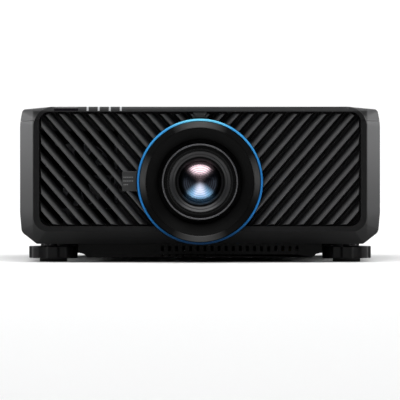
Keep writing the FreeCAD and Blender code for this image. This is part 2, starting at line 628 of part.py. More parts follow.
def make_shift_stage():
    """A fixed frame, a carriage that slides across on two rods, and one that slides up and down on it."""
    frame = box("frame_plate", (-112, 112), (-98, -92), (up(-86), up(91)))
    lugs = [box(f"frame_lug_{k}", x, (-113, -92), (up(low), up(high)))
            for k, (x, low, high) in enumerate([((-112, -104), -82, -62), ((104, 112), -82, -62),
                                                ((-112, -104), 62, 91),
                                                ((104, 112), 62, 91)])]
    lugs += [box(f"frame_foot_{side}", (side * 80 - 20, side * 80 + 20), (-112, -92),
                 ("belly_height + sheet + 0.1", up(-82)))
             for side in (-1, 1)]
    holes = [rod("frame_window", "y", (0, "lens_height"), 42, (-99, -91))]
    holes += [rod(f"frame_rod_hole_{k}", "x", (-106, up(f"{k} * rod_up")), "rod_radius + 0.02", (-113, 113))
              for k in (-1, 1)]
    holes += [rod("frame_screw_hole", "x", (-106, up("screw_up")), "screw_radius + 0.05", (-113, 113))]
    node("shift_frame", cut("frame_made", fuse("frame_solid", frame, *lugs), *holes))
    node("x_guide_rods", group("x_rods",
                               *[rod(f"x_rod_{k}", "x", (-106, up(f"{k} * rod_up")), "rod_radius",
                                     (-112, 112))
                                           for k in (-1, 1)]))
    node("x_lead_screw", rod("x_screw", "x", (-106, up("screw_up")), "screw_radius", (-111.9, 111.9)))
    node("x_shift_motor", rod("x_motor", "x", (-106, up("screw_up")), 8, (112.2, 138)))

    plate = box("x_plate", (-100, 84), (-116, -111), (up(-66), up(66)))
    blocks = [box(f"x_block_{k}", (-30, 30), (-113, -99), (up(f"{k} * 72 - 8"), up(f"{k} * 72 + 8")))
              for k in (-1, 1)]
    nut = box("x_nut", (-10, 10), (-113, -99), (up(79), up(91)))
    corners = [box(f"x_corner_{k}", x, (-131, -111), (up(low), up(low + 8)))
               for k, (x, low) in enumerate([((64.5, 84), -66), ((64.5, 84), 58), ((-100, -64.5), -66),
                                             ((-100, -64.5), 58)])]
    bores = [rod("x_window", "y", (0, "lens_height"), 40, (-117, -110))]
    bores += [rod(f"x_bore_{k}", "x", (-106, up(f"{k} * rod_up")), "rod_radius + 0.06", (-31, 31))
              for k in (-1, 1)]
    bores += [rod("x_nut_bore", "x", (-106, up("screw_up")), "screw_radius + 0.06", (-31, 31))]
    bores += [rod(f"z_rod_seat_{k}", "z", (f"{k} * rod_across", -124), "rod_radius + 0.02",
                  (up(-67), up(67))) for k in (-1, 1)]
    bores += [rod("z_screw_seat", "z", ("-screw_across", -124), "screw_radius + 0.05", (up(-67), up(67)))]
    node("x_carriage", cut("x_carriage_made", fuse("x_carriage_solid", plate, nut, *blocks, *corners),
                           *bores))
    node("z_guide_rods", group("z_rods", *[rod(f"z_rod_{k}", "z", (f"{k} * rod_across", -124), "rod_radius",
                                               (up(-66), up(66))) for k in (-1, 1)]))
    node("z_lead_screw", rod("z_screw", "z", ("-screw_across", -124), "screw_radius", (up(-66), up(66))))
    node("z_shift_motor", rod("z_motor", "z", ("-screw_across", -124), 8, (up(66.3), up(90))))

    plate = box("z_plate", (-64, 64), (-127.9, -121.9), (up(-62), up(62)))
    blocks = [box(f"z_block_{k}", x, (-131, -117), (up(-28), up(28)))
              for k, x in enumerate([(63, 82), (-82, -63)])]
    nut = box("z_nut", (-99, -81), (-131, -117), (up(-8), up(8)))
    bores = [rod("z_window", "y", (0, "lens_height"), "tail_radius + 0.1", (-129, -121))]
    bores += [rod(f"z_bore_{k}", "z", (f"{k} * rod_across", -124), "rod_radius + 0.06", (up(-29), up(29)))
              for k in (-1, 1)]
    bores += [rod("z_nut_bore", "z", ("-screw_across", -124), "screw_radius + 0.06", (up(-29), up(29)))]
    node("z_carriage", cut("z_carriage_made", fuse("z_carriage_solid", plate, nut, *blocks), *bores))


# ---- engine, cooling and power ----

def make_engine():
    """Cast optical housing with the lens throat, the phosphor wheel, the laser bank and its heat sink."""
    shell = cut("engine_shell", box("engine_block", (-70, 85), (-88, 80), (55, 160)),
                box("engine_cavity", (-66, 81), (-84, 76), (59, 156)))
    boss = rod("wheel_boss", "x", (10, 115), 8, (-80, -69))
    posts = [rod(f"engine_post_{k}", "z", at, 4, ("belly_height + sheet + 0.1", 56))
             for k, at in enumerate([(-66, -75), (74, -75), (-66, 65), (74, 65)])]
    holes = [rod("engine_throat", "y", (0, "lens_height"), 34, (-89, -80)),
             rod("wheel_bore", "x", (10, 115), 2.06, (-81, -65))]
    node("engine_housing", cut("engine_made", fuse("engine_solid", shell, boss, *posts), *holes))
    disc = rod("wheel_disc", "x", (10, 115), 32, (-97, -95))
    hub = rod("wheel_hub", "x", (10, 115), 9, (-95.5, -84))
    node("phosphor_wheel", fuse("wheel_made", disc, hub, rod("wheel_shaft", "x", (10, 115), 2, (-85, -71))))
    bank = box("laser_box", (-190, -115), (-20, 50), (70, 160))
    leg = box("laser_leg", (-190, -170), (-20, 50), ("base_height + sheet + 0.1", 71))
    port = rod("laser_port", "x", (10, 135), 9, (-115.5, -108))
    node("laser_module", fuse("laser_made", bank, port, leg))
    fins = [box(f"fin_{k}", (f"-190 + {k} * 6.6", f"-187.6 + {k} * 6.6"), (54, 128), (70, 160))
            for k in range(FINS)]
    node("laser_heatsink", fuse("heatsink_made", box("fin_base", (-190, -115), (50.1, 56), (70, 160)),
                                *fins))


def make_power_and_boards():
    """Screened power supply, and the interface board with its chips standing behind the rear panel."""
    can = box("supply_can", (100, 198), (-60, 150), ("base_height + sheet + 0.1", 140))
    node("power_supply", cut("supply_made", can,
                             box("supply_inside", (102, 196), (-58, 148),
                                 ("base_height + sheet + 2", 138))))
    key_board = box("key_board", (-205, -130), (238, 239.6), (66, 164))
    board = box("board", (-120, 120), (236, "board_back"), (60, 175))
    chips = [box(f"chip_{k}", (x, x + 26), (228, 236), (z, z + 26))
             for k, (x, z) in enumerate([(-90, 80), (-30, 120), (40, 90)])]
    node("main_board", group("boards_made", fuse("board_made", board, *chips), key_board))


def make_front_fan():
    """Axial fan behind the open part of the grille."""
    x, z = -161, 118
    frame = box("fan_square", (x - 46, x + 46), (-222, -197), (z - 46, z + 46))
    duct = rod("fan_duct", "y", (x, z), 43.5, (-223, -196))
    spokes = [box("fan_spoke_flat", (x - 45, x + 45), (-200, -197), (z - 2, z + 2)),
              box("fan_spoke_tall", (x - 2, x + 2), (-200, -197), (z - 45, z + 45)),
              rod("fan_seat", "y", (x, z), 18, (-200, -197))]
    node("front_fan_frame", fuse("fan_frame_made", cut("fan_open", frame, duct), *spokes))
    hub = rod("fan_hub", "y", (x, z), 18, (-220, -200.6))
    blades = []
    for k in range(BLADES):
        blade = box(f"blade_{k}", (-7, 7), (-0.9, 0.9), (16, 41.5))
        pitched = Rotation(Vector(0, 1, 0), 360 * k / BLADES) * Rotation(Vector(0, 0, 1), 40)
        blade.Placement = FreeCAD.Placement(Vector(), pitched)
        around = f"{360 * k / BLADES} deg"
        blades.append(place(blade, f"{x} + 16 * sin({around}) - 5 * cos({around})",
                            "-210.7 - 7 * sin(40 deg)", f"{z} + 16 * cos({around}) + 5 * sin({around})"))
    node("front_fan_rotor", fuse("rotor_made", hub, *blades))


def make_filter():
    """Slotted cover with a rim that carries the pleated filter, pulled out together from the right side."""
    plate = box("filter_plate", ("case_half - 2.8", "case_half"),
                ("filter_front + 0.4", "filter_back - 0.4"),
                ("filter_low + 0.4", "filter_high - 0.4"))
    rim = cut("filter_rim", box("rim_out", ("case_half - 9", "case_half - 2"),
                                ("filter_front + 1", "filter_back - 1"),
              ("filter_low + 1", "filter_high - 1")), box("rim_in", ("case_half - 10", "case_half - 2.8"),
              ("filter_front + 3", "filter_back - 3"), ("filter_low + 3", "filter_high - 3")))
    slots = slanted_slots("filter_slot", ("case_half - 4", "case_half + 1"), -110, 9, "slot_low",
                          "slot_high - 4")
    node("filter_cover", cut("filter_cover_made", fuse("filter_cover_solid", plate, rim), *slots))
    media = box("filter_media", (212, "case_half - 3"), ("filter_front + 3.2", "filter_back - 3.2"),
                ("filter_low + 3.2", "filter_high - 3.2"))
    pleats = [box(f"pleat_{k}", (211, 225),
                  (f"filter_front + 8 + {k} * 14", f"filter_front + 13 + {k} * 14"),
                  ("filter_low", "filter_high")) for k in range(15)]
    node("air_filter", cut("filter_made", media, *pleats))


# ---- rear panel ----

PORTS = {"hdmi": [(-70, 150), (-40, 150)], "lan": [(-6, 150), (22, 150)], "usb": [(50, 150)]}
PORT_SIZES = {"hdmi": (8.5, 3.8, 7.1, 2.4), "lan": (8.5, 7.5, 6, 4.2), "usb": (7.5, 4, 6.3, 2.5)}
PORT_WINDOW = ((10, 134), (94, 29))
POWER_WINDOW = ((151, 52), (34, 15))
JACK_RADIUS = 4
COAX_RADIUS = 5
DSUB = [(-58, 118), (-10, 118)]
JACKS = [(32, 118), (48, 118), (64, 118)]
COAX = [(92, 118), (92, 150)]
KEYS = {"power_key": (-165, 152), "menu_key": (-192, 126), "ok_key": (-165, 98), "up_key": (-165, 118),
        "down_key": (-165, 78),
        "left_key": (-185, 98), "right_key": (-145, 98)}
KEY_RADIUS = 7.5
INLET = (165, 52)
SWITCH = (130, 52)


def socket(name, at, sizes):
    """A rectangular port: half width and height of its shell, then of its mouth."""
    (x, z), (width, height, mouth, gap) = at, sizes
    shell = box(name, (x - width, x + width), ("board_back + 0.1", "panel_back + 0.8"),
                (z - height, z + height))
    hollow = box(name + "_mouth", (x - mouth, x + mouth), ("plate_back + 0.4", "panel_back + 2"),
                 (z - gap, z + gap))
    return cut(name + "_open", shell, hollow)


def window(name, at, span):
    """A rectangular hole, from its middle and half sizes."""
    (x, z), (width, height) = at, span
    return box(name, (x - width, x + width), ("plate_front - 1", "panel_back + 1"),
               (z - height, z + height))


def make_rear_panel():
    """Panel that closes the rear, with two windows, and the recessed plates that carry the connectors."""
    side = case_outline("(wall + panel_gap)")
    side[-1] = ("floor_half - 0.5", "base_height + 4")
    right = side + [("floor_half - 0.5", "base_height")] + belly_outline(0, "base_height")
    panel = padded("panel_plate", "XZ", both_sides(right), ("panel_front", "panel_back"))
    through = ("panel_front - 1", "panel_back + 1")
    holes = [window("port_window", *PORT_WINDOW), window("power_window", *POWER_WINDOW)]
    holes += [rod(f"{key}_hole", "y", at, KEY_RADIUS + 0.3, through) for key, at in KEYS.items()]
    holes += [rod(f"rear_screw_hole_{k}", "y", at, SCREW_SHANK + 0.1, through)
              for k, at in enumerate(REAR_SCREWS)]
    holes += [rod("rear_window_hole", "y", (-150, 196), 5.95, through)]
    holes += [box(f"hot_slot_{k}", (f"126 + {k} * 8", f"130 + {k} * 8"), through, (86, 168))
              for k in range(11)]
    fits = [(at, PORT_SIZES[kind][:2]) for kind, places in PORTS.items()
            for at in places] + [(at, (8.6, 4.2)) for at in DSUB]
    port_holes = [window(f"port_hole_{k}", at, (w + 0.2, h + 0.2)) for k, (at, (w, h)) in enumerate(fits)]
    beside = ("plate_front - 1", "plate_back + 1")
    port_holes += [rod(f"jack_hole_{k}", "y", at, JACK_RADIUS + 0.2, beside) for k, at in enumerate(JACKS)]
    port_holes += [rod(f"coax_hole_{k}", "y", at, COAX_RADIUS + 0.2, beside) for k, at in enumerate(COAX)]
    plates = []
    for label, (at, (width, height)), cuts in (
        ("port_plate", PORT_WINDOW, port_holes),
        ("power_plate", POWER_WINDOW, [window("inlet_hole", INLET, (14, 10.5)),
                                       window("switch_hole", SWITCH, (7, 11.4))]),
    ):
        plate = box(label, (at[0] - width - 3, at[0] + width + 3), ("plate_front", "plate_back"),
                    (at[1] - height - 3, at[1] + height + 3))
        plates.append(cut(label + "_cut", plate, *cuts))
    node("rear_panel", group("panel_made", cut("panel_cut", panel, *holes), *plates))


def make_connectors():
    """Ports on the interface board, the mains inlet with its three blades, and the switch's rocker."""
    ports = [socket(f"{kind}_{k}", at, PORT_SIZES[kind]) for kind, places in PORTS.items()
             for k, at in enumerate(places)]
    proud = "plate_back + 0.1"
    for k, (x, z) in enumerate(DSUB):
        shell = box(f"dsub_{k}", (x - 8.6, x + 8.6), ("board_back + 0.1", "plate_back + 6"),
                    (z - 4.2, z + 4.2))
        flange = box(f"dsub_flange_{k}", (x - 15.5, x + 15.5), (proud, "plate_back + 0.9"), (z - 6, z + 6))
        nuts = [rod(f"dsub_nut_{k}_{side}", "y", (x + side * 12.5, z), 2.4, (proud, "plate_back + 5"))
                for side in (-1, 1)]
        ports.append(fuse(f"dsub_made_{k}", shell, flange, *nuts))
    for kind, places, radius, reach in (("jack", JACKS, JACK_RADIUS, 7), ("coax", COAX, COAX_RADIUS, 11)):
        for k, at in enumerate(places):
            stem = rod(f"{kind}_{k}", "y", at, radius, ("board_back + 0.1", f"plate_back + {reach}"))
            bore = rod(f"{kind}_bore_{k}", "y", at, 1.8,
                       (f"plate_back + {reach} - 6", f"plate_back + {reach} + 1"))
            ports.append(cut(f"{kind}_made_{k}", stem, bore))
    node("io_ports", group("ports_made", *ports))
    x, z = INLET
    body = box("inlet_body", (x - 13.8, x + 13.8), (226, "plate_back + 5.5"), (z - 10.3, z + 10.3))
    flange = box("inlet_flange", (x - 17, x + 17), (proud, "plate_back + 2.2"), (z - 12.6, z + 12.6))
    mouth = box("inlet_mouth", (x - 12.2, x + 12.2), (229, "plate_back + 7"), (z - 8.3, z + 8.3))
    blades = [box(f"blade_pin_{k}", (x + dx - 1, x + dx + 1), (228, "plate_back + 0.4"),
                  (z + dz - 3, z + dz + 3))
              for k, (dx, dz) in enumerate([(-7, -1.5), (7, -1.5), (0, 2)])]
    node("ac_inlet", fuse("inlet_made", cut("inlet_open", fuse("inlet_solid", body, flange), mouth),
                          *blades))
    x, z = SWITCH
    rocker = padded("rocker", "YZ", [(-4, -9.5), (6.2, -9.5), (5.2, 0), (6.2, 9.5), (-4, 9.5)],
                    (x - 6.5, x + 6.5))
    rocker.Placement = FreeCAD.Placement(Vector(), Rotation(Vector(1, 0, 0), -8))
    node("power_switch", place(rocker, 0, "plate_back - 1", z))


def make_keys():
    """Round keys that travel into the panel, each with a collar that keeps it from falling out."""
    for label, at in KEYS.items():
        cap = rod(f"{label}_cap", "y", at, KEY_RADIUS, (241, "panel_back + 1.8"))
        collar = rod(f"{label}_collar", "y", at, KEY_RADIUS + 1.5, (245.3, "panel_front - 0.1"))
        node(label, fuse(f"{label}_made", cap, collar))


shell = front_shell()
make_front_cover(shell)
make_top_cover(shell)
make_side_covers()
make_bottom_chassis()
make_inserts_and_screws()
make_front_grille()
make_ring_and_surround()
make_windows_and_lights()
for foot, at in FEET.items():
    make_foot(foot, at)
make_lens_barrel()
node("lens_motors", group("motors_made", *[make_lens_drive(kind) for kind in LENS_GEARS]))
make_lens_cells()
make_shift_stage()
make_engine()
make_power_and_boards()
make_front_fan()
make_filter()
make_rear_panel()
make_connectors()
make_keys()
doc.recompute()

failed = [thing.Name for thing in doc.Objects if {"Invalid", "Error"} & set(thing.State)]
empty = [label for label, made in nodes.items()
         if made.Shape.isNull() or not made.Shape.isValid() or not made.Shape.Solids]
if failed or empty:
    raise SystemExit(f"failed features: {failed}; empty or invalid pieces: {empty}")
os.makedirs("parts", exist_ok=True)
for label, made in nodes.items():
    made.Shape.exportStep(f"parts/{label}.step")
    print(f"{label:26s} {len(made.Shape.Solids):3d} solids {made.Shape.Volume / 1000:10.1f} cm3")
print(len(nodes), "nodes")
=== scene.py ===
import math
import bmesh
import bpy
from mathutils import Matrix, Vector


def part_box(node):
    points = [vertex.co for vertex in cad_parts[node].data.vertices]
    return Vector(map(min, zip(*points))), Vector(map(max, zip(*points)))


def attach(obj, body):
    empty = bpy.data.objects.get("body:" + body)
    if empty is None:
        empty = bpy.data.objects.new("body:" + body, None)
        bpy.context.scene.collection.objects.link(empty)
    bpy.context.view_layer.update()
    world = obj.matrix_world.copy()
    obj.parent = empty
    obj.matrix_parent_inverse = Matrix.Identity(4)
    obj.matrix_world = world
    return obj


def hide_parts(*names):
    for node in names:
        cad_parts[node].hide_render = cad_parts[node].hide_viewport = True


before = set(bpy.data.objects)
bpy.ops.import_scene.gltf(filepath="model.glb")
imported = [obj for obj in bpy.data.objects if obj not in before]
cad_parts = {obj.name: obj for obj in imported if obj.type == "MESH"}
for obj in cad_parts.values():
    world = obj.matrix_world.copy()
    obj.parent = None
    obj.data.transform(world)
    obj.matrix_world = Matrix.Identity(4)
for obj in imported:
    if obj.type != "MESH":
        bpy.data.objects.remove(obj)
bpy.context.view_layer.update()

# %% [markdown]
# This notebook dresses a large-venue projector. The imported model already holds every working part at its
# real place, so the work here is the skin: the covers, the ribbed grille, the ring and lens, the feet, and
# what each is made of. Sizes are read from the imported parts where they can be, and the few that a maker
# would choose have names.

MM = 0.001
CASE_LOW, CASE_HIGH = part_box("top_cover")
HALF = CASE_HIGH.x
TOP = CASE_HIGH.z
REAR = CASE_HIGH.y
BEZEL = CASE_LOW.y
SEAM = CASE_LOW.z
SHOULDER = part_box("side_cover_left")[0].y - 0.3 * MM
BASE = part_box("side_cover_left")[0].z
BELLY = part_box("front_cover")[0].z
BELLY_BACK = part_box("front_cover")[1].y
RING_LOW, RING_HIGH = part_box("blue_trim_ring")
LENS = (RING_LOW + RING_HIGH) / 2
RING_FACE = RING_LOW.y
RING = (RING_HIGH.z - RING_LOW.z) / 2
BARREL_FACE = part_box("lens_barrel")[0].y
PLATE_FRONT, PLATE_BACK, BAR_FRONT = -231 * MM, -228.5 * MM, -239.6 * MM
WALL = 3 * MM
SHARP = 32
print(f"case {2 * HALF:.3f} m wide and {TOP:.3f} m high")
print(f"ring {2 * RING:.3f} m across, {BEZEL - RING_FACE:.4f} m proud of the bezel")

# %% [markdown]
# Every new piece goes through the same few steps: a bmesh becomes an object, smooth shading keeps its sharp
# edges by angle, a Bevel rounds them as a mould or a cutter would, and weighted normals keep flat faces
# flat beside the rounds. Doing it in one helper gives all edges of one kind the same softness, which is
# what makes parts look like one product.

# %% Turning a bmesh into a finished piece
def finish_piece(name, bm, body, material, replaces=(), edge=0.0, segments=2, sharp=SHARP,
                 weighted=True):
    """Makes the object, rounds its edges, and names the body that carries it and the parts it stands for."""
    mesh = bpy.data.meshes.new(name)
    bm.to_mesh(mesh)
    bm.free()
    piece = bpy.data.objects.new(name, mesh)
    bpy.context.scene.collection.objects.link(piece)
    mesh.materials.append(material)
    mesh.shade_smooth()
    mesh.set_sharp_from_angle(angle=math.radians(sharp))
    if edge:
        round_edges(piece, edge, segments)
    if weighted:
        piece.modifiers.new("flat faces", "WEIGHTED_NORMAL").keep_sharp = True
    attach(piece, body)
    if replaces:
        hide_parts(*replaces)
    print(f"{name}: {len(mesh.polygons)} faces before its edges are rounded")
    return piece


def round_edges(piece, width, segments=2):
    """A live Bevel on every edge that is sharper than the limit."""
    bevel = piece.modifiers.new("rounded edges", "BEVEL")
    bevel.width = width
    bevel.segments = segments
    bevel.limit_method = "ANGLE"
    bevel.angle_limit = math.radians(SHARP)
    bevel.harden_normals = False
    bevel.miter_outer = "MITER_ARC"


def applied(bm, kind, cutter=None, **settings):
    """The bmesh after one modifier, which is applied at once."""
    made = []
    for part in (bm, cutter) if cutter else (bm,):
        mesh = bpy.data.meshes.new("worked")
        part.to_mesh(mesh)
        part.free()
        made.append(bpy.data.objects.new("worked", mesh))
        bpy.context.scene.collection.objects.link(made[-1])
    modifier = made[0].modifiers.new("work", kind)
    for setting, value in settings.items():
        setattr(modifier, setting, value)
    if cutter:
        modifier.object = made[1]
    bpy.context.view_layer.update()
    evaluated = made[0].evaluated_get(bpy.context.evaluated_depsgraph_get())
    result = bmesh.new()
    result.from_mesh(evaluated.to_mesh())
    evaluated.to_mesh_clear()
    for leftover in made:
        mesh = leftover.data
        bpy.data.objects.remove(leftover)
        bpy.data.meshes.remove(mesh)
    bmesh.ops.remove_doubles(result, verts=result.verts, dist=0.01 * MM)
    return result


def carve(bm, cutter, operation="DIFFERENCE"):
    """Takes the cutter away from a solid, or keeps only what they share."""
    return applied(bm, "BOOLEAN", cutter, operation=operation, solver="MANIFOLD")


def thicken(bm, wall):
    """Gives an open surface a wall that grows inwards."""
    bmesh.ops.recalc_face_normals(bm, faces=bm.faces)
    return applied(bm, "SOLIDIFY", thickness=wall, offset=-1, use_even_offset=True)


print(f"every edge that turns by more than {SHARP} degrees can be rounded")

# %% [markdown]
# Nearly all of the pieces start as one of four simple solids: a box, a drum, an outline pushed into a
# plate, or a profile turned on a lathe. They are written once here, so that each later cell only says where
# its own go.

# %% Small shapes that many pieces share
def verts_of(geometry):
    """The vertices among what an extrusion made."""
    return [part for part in geometry if isinstance(part, bmesh.types.BMVert)]


def add_block(bm, low, high):
    """A box between two corners."""
    low, high = Vector(low), Vector(high)
    place = Matrix.Translation((low + high) / 2) @ Matrix.Diagonal((*(high - low), 1))
    return bmesh.ops.create_cube(bm, size=1, matrix=place)["verts"]


def add_drum(bm, centre, axis, radius, length, steps):
    """A round bar along Y or Z."""
    turn = {"Y": Matrix.Rotation(math.pi / 2, 4, "X"), "Z": Matrix()}[axis]
    bmesh.ops.create_cone(bm, cap_ends=True, segments=steps, radius1=radius, radius2=radius, depth=length,
                          matrix=Matrix.Translation(centre) @ turn)


def pushed(bm, faces, way):
    """Extrudes flat faces into a plate."""
    far = bmesh.ops.extrude_face_region(bm, geom=faces)["geom"]
    bmesh.ops.translate(bm, vec=way, verts=verts_of(far))
    bmesh.ops.recalc_face_normals(bm, faces=bm.faces)


def in_mm(*corners):
    """Profile corners written in millimetres."""
    return [(along * MM, radius * MM) for along, radius in corners]


LATHE_STEPS = 144


def turned(profile, centre, rounds=None):
    """A closed profile of (along Y, radius) corners, some rounded, turned about the line through centre."""
    bm = bmesh.new()
    corners = [bm.verts.new((centre.x, along, centre.z + radius)) for along, radius in profile]
    bm.faces.new(corners)
    for number, radius in (rounds or {}).items():
        bmesh.ops.bevel(bm, geom=[corners[number]], offset=radius, offset_type="OFFSET", segments=4,
                        profile=0.5, affect="VERTICES", material=-1)
    bmesh.ops.delete(bm, geom=bm.faces[:], context="FACES_ONLY")
    bmesh.ops.spin(bm, geom=bm.verts[:] + bm.edges[:], cent=centre, axis=(0, 1, 0), angle=math.tau,
                   steps=LATHE_STEPS, use_merge=True)
    bmesh.ops.remove_doubles(bm, verts=bm.verts, dist=0.005 * MM)
    bmesh.ops.recalc_face_normals(bm, faces=bm.faces)
    return bm


print(f"turned pieces get {LATHE_STEPS} steps a turn")

# %% [markdown]
# Most of the projector is dark moulded plastic. A moulded case has a spark-eroded grain of about a fifth of
# a millimetre, which breaks up its highlights, and slow changes of gloss from handling. Two noises do this:
# a fine one drives a bump and a coarse one the roughness. The grain is read from Object coordinates, so it
# never slides.

# %% Materials: a base with grain
def shader(name, colour, roughness, metallic=0.0, specular=0.5):
    """A Principled material whose even values sit on the shader itself."""
    material = bpy.data.materials.new(name)
    material.use_nodes = True
    principled = material.node_tree.nodes["Principled BSDF"]
    principled.inputs["Base Color"].default_value = (*colour, 1)
    principled.inputs["Roughness"].default_value = roughness
    principled.inputs["Metallic"].default_value = metallic
    principled.inputs["Specular IOR Level"].default_value = specular
    return material, material.node_tree, principled


def object_noise(tree, scale, detail=3.0, stretch=(1, 1, 1)):
    """Noise in Object coordinates. scale counts its cells in a metre."""
    place = tree.nodes.new("ShaderNodeTexCoord")
    mapping = tree.nodes.new("ShaderNodeMapping")
    mapping.inputs["Scale"].default_value = stretch
    noise = tree.nodes.new("ShaderNodeTexNoise")
    noise.inputs["Scale"].default_value = scale
    noise.inputs["Detail"].default_value = detail
    tree.links.new(place.outputs["Object"], mapping.inputs["Vector"])
    tree.links.new(mapping.outputs["Vector"], noise.inputs["Vector"])
    return noise.outputs["Fac"]


def spread(tree, value, low, high, start=0.3, end=0.7):
    """Maps a noise to a range of values."""
    remap = tree.nodes.new("ShaderNodeMapRange")
    for socket, number in (("From Min", start), ("From Max", end), ("To Min", low), ("To Max", high)):
        remap.inputs[socket].default_value = number
    tree.links.new(value, remap.inputs["Value"])
    return remap.outputs["Result"]


def blend_colours(tree, value, first, second):
    """Goes from the first colour to the second. Each is a plain colour or another node's output."""
    mix = tree.nodes.new("ShaderNodeMix")
    mix.data_type = "RGBA"
    for socket, colour in ((mix.inputs["A"], first), (mix.inputs["B"], second)):
        if isinstance(colour, (tuple, list)):
            socket.default_value = (*colour, 1)
        else:
            tree.links.new(colour, socket)
    tree.links.new(value, mix.inputs["Factor"])
    return mix.outputs["Result"]


def add_bump(tree, principled, value, depth):
    bump = tree.nodes.new("ShaderNodeBump")
    bump.inputs["Distance"].default_value = depth
    bump.inputs["Strength"].default_value = 1.0
    tree.links.new(value, bump.inputs["Height"])
    tree.links.new(bump.outputs["Normal"], principled.inputs["Normal"])


HANDLED, UNEVEN_TONE, UNEVEN_GLOSS = 14, 0.08, 0.06
CASE_GRAIN, CASE_GRAIN_DEPTH = 5200, 0.012 * MM


def uneven_gloss(tree, principled, roughness, vary):
    """Slow changes of roughness, as handling leaves them."""
    tree.links.new(spread(tree, object_noise(tree, HANDLED, 2), roughness - vary, roughness + vary),
                   principled.inputs["Roughness"])


def grained(name, colour, roughness, grain=CASE_GRAIN, depth=CASE_GRAIN_DEPTH, specular=0.5, metallic=0.0):
    """Moulded plastic or powder coat: a fine grain, and slow changes of tone and gloss."""
    material, tree, principled = shader(name, colour, roughness, metallic, specular)
    uneven_gloss(tree, principled, roughness, UNEVEN_GLOSS)
    tone = blend_colours(tree, spread(tree, object_noise(tree, 9, 3), 0, 1),
                         [c * (1 - UNEVEN_TONE) for c in colour], [c * (1 + UNEVEN_TONE) for c in colour])
    tree.links.new(tone, principled.inputs["Base Color"])
    add_bump(tree, principled, object_noise(tree, grain, 2), depth)
    return material


# Painted shade: this darker copy of the case plastic stands for the shade on the belly wall under the
# chamfer.
BELLY_PLASTIC = grained("underside plastic", (0.0035, 0.0035, 0.0035), 0.5, specular=0.07)
TAB_PLASTIC = grained("tab plastic", (0.015, 0.015, 0.015), 0.4)
FAN_PLASTIC = grained("matt fan plastic", (0.002, 0.002, 0.002), 0.7, specular=0.03)
FOOT_PLASTIC = grained("foot plastic", (0.004, 0.004, 0.0043), 0.35, grain=3800, specular=0.16)
PAD_RUBBER = grained("foot rubber", (0.011, 0.011, 0.011), 0.75, grain=2600, depth=0.03 * MM)
CHASSIS_PAINT = grained("powder coated sheet", (0.02, 0.02, 0.022), 0.55, grain=2400, depth=0.03 * MM)
PRINT, _, _ = shader("grey print", (0.16, 0.16, 0.16), 0.5)
KEY_PLASTIC = grained("key plastic", (0.045, 0.045, 0.05), 0.4)
print("eight moulded, coated and printed finishes")

# %% [markdown]
# Machined metal shows the tool's fine parallel lines, so its noise is squeezed thirty times along one axis.
# Cast and blackened parts get the same grain as the plastics with a metal's reflection. The few clear or
# polished parts are even, because a polished mould leaves no grain.

# %% Materials: metals, windows and what is inside
LINES, SQUEEZED = 900, (1, 1, 30)


def brushed(name, colour, roughness):
    """Metal with fine lines across Z."""
    material, tree, principled = shader(name, colour, roughness, metallic=1.0)
    lines = object_noise(tree, LINES, 3, SQUEEZED)
    tree.links.new(spread(tree, lines, roughness * 0.8, roughness * 1.3), principled.inputs["Roughness"])
    add_bump(tree, principled, lines, 0.004 * MM)
    return material


STEEL = brushed("ground steel", (0.55, 0.55, 0.57), 0.28)
ALLOY = brushed("machined alloy", (0.5, 0.51, 0.53), 0.36)
CAST = grained("die cast alloy", (0.33, 0.33, 0.35), 0.5, grain=900, depth=0.05 * MM, metallic=1.0)
BRASS = brushed("turned brass", (0.68, 0.48, 0.2), 0.3)
NICKEL = brushed("nickel plate", (0.27, 0.265, 0.255), 0.34)
BLACK_OXIDE = grained("blackened screws", (0.03, 0.03, 0.032), 0.4, metallic=0.8)
SURROUND = grained("surround plastic", (0.002, 0.002, 0.002), 0.45, grain=9000, depth=0.003 * MM,
                   specular=0.06)
GEAR_PLASTIC = grained("black acetal", (0.006, 0.006, 0.006), 0.5, specular=0.2)
WINDOW, _, _ = shader("tinted window", (0.006, 0.005, 0.007), 0.06, specular=0.6)
GUIDE, _, _ = shader("milky light guide", (0.42, 0.43, 0.44), 0.35)
RIM, _, _ = shader("turned rim", (0.1, 0.1, 0.105), 0.25, metallic=0.7)
BOARD = grained("solder mask", (0.01, 0.1, 0.035), 0.3, grain=1500)
PHOSPHOR, _, _ = shader("phosphor coating", (0.85, 0.62, 0.08), 0.6)
FILTER_FELT = grained("filter fleece", (0.03, 0.031, 0.031), 0.9, grain=1400, depth=0.2 * MM)
print("metals, windows, gears, board, phosphor and filter have their finishes")

# %% [markdown]
# The front element's reflections are partly painted: its colour is pink above the axis, blue below it and
# near black at the sides, so the lamps above and the floor below reflect in those colours. Distances from the
# lens axis in Object coordinates steer both colours, and a few darker painted rings stand for the inner
# elements' edges seen in it.

# %% Material: glass with painted reflections
def object_axes(tree):
    """The outputs X, Y and Z of the Object coordinates."""
    place = tree.nodes.new("ShaderNodeTexCoord")
    axes = tree.nodes.new("ShaderNodeSeparateXYZ")
    tree.links.new(place.outputs["Object"], axes.inputs["Vector"])
    return axes.outputs


def node_math(tree, operation, first, second=0.0):
    """One Math node. Its inputs are sockets or plain numbers."""
    made = tree.nodes.new("ShaderNodeMath")
    made.operation = operation
    for socket, value in zip(made.inputs, (first, second)):
        if isinstance(value, (int, float)):
            socket.default_value = value
        else:
            tree.links.new(value, socket)
    return made.outputs["Value"]


def distance(tree, across, rise):
    """How far a point is from the lens axis."""
    squares = [node_math(tree, "MULTIPLY", share, share) for share in (across, rise)]
    return node_math(tree, "SQRT", node_math(tree, "ADD", *squares))


def smooth_step(tree, value, start, end):
    """Rises softly from 0 at the start to 1 at the end."""
    step = tree.nodes.new("ShaderNodeMapRange")
    step.interpolation_type = "SMOOTHSTEP"
    step.inputs["From Min"].default_value = start
    step.inputs["From Max"].default_value = end
    tree.links.new(value, step.inputs["Value"])
    return step.outputs["Result"]


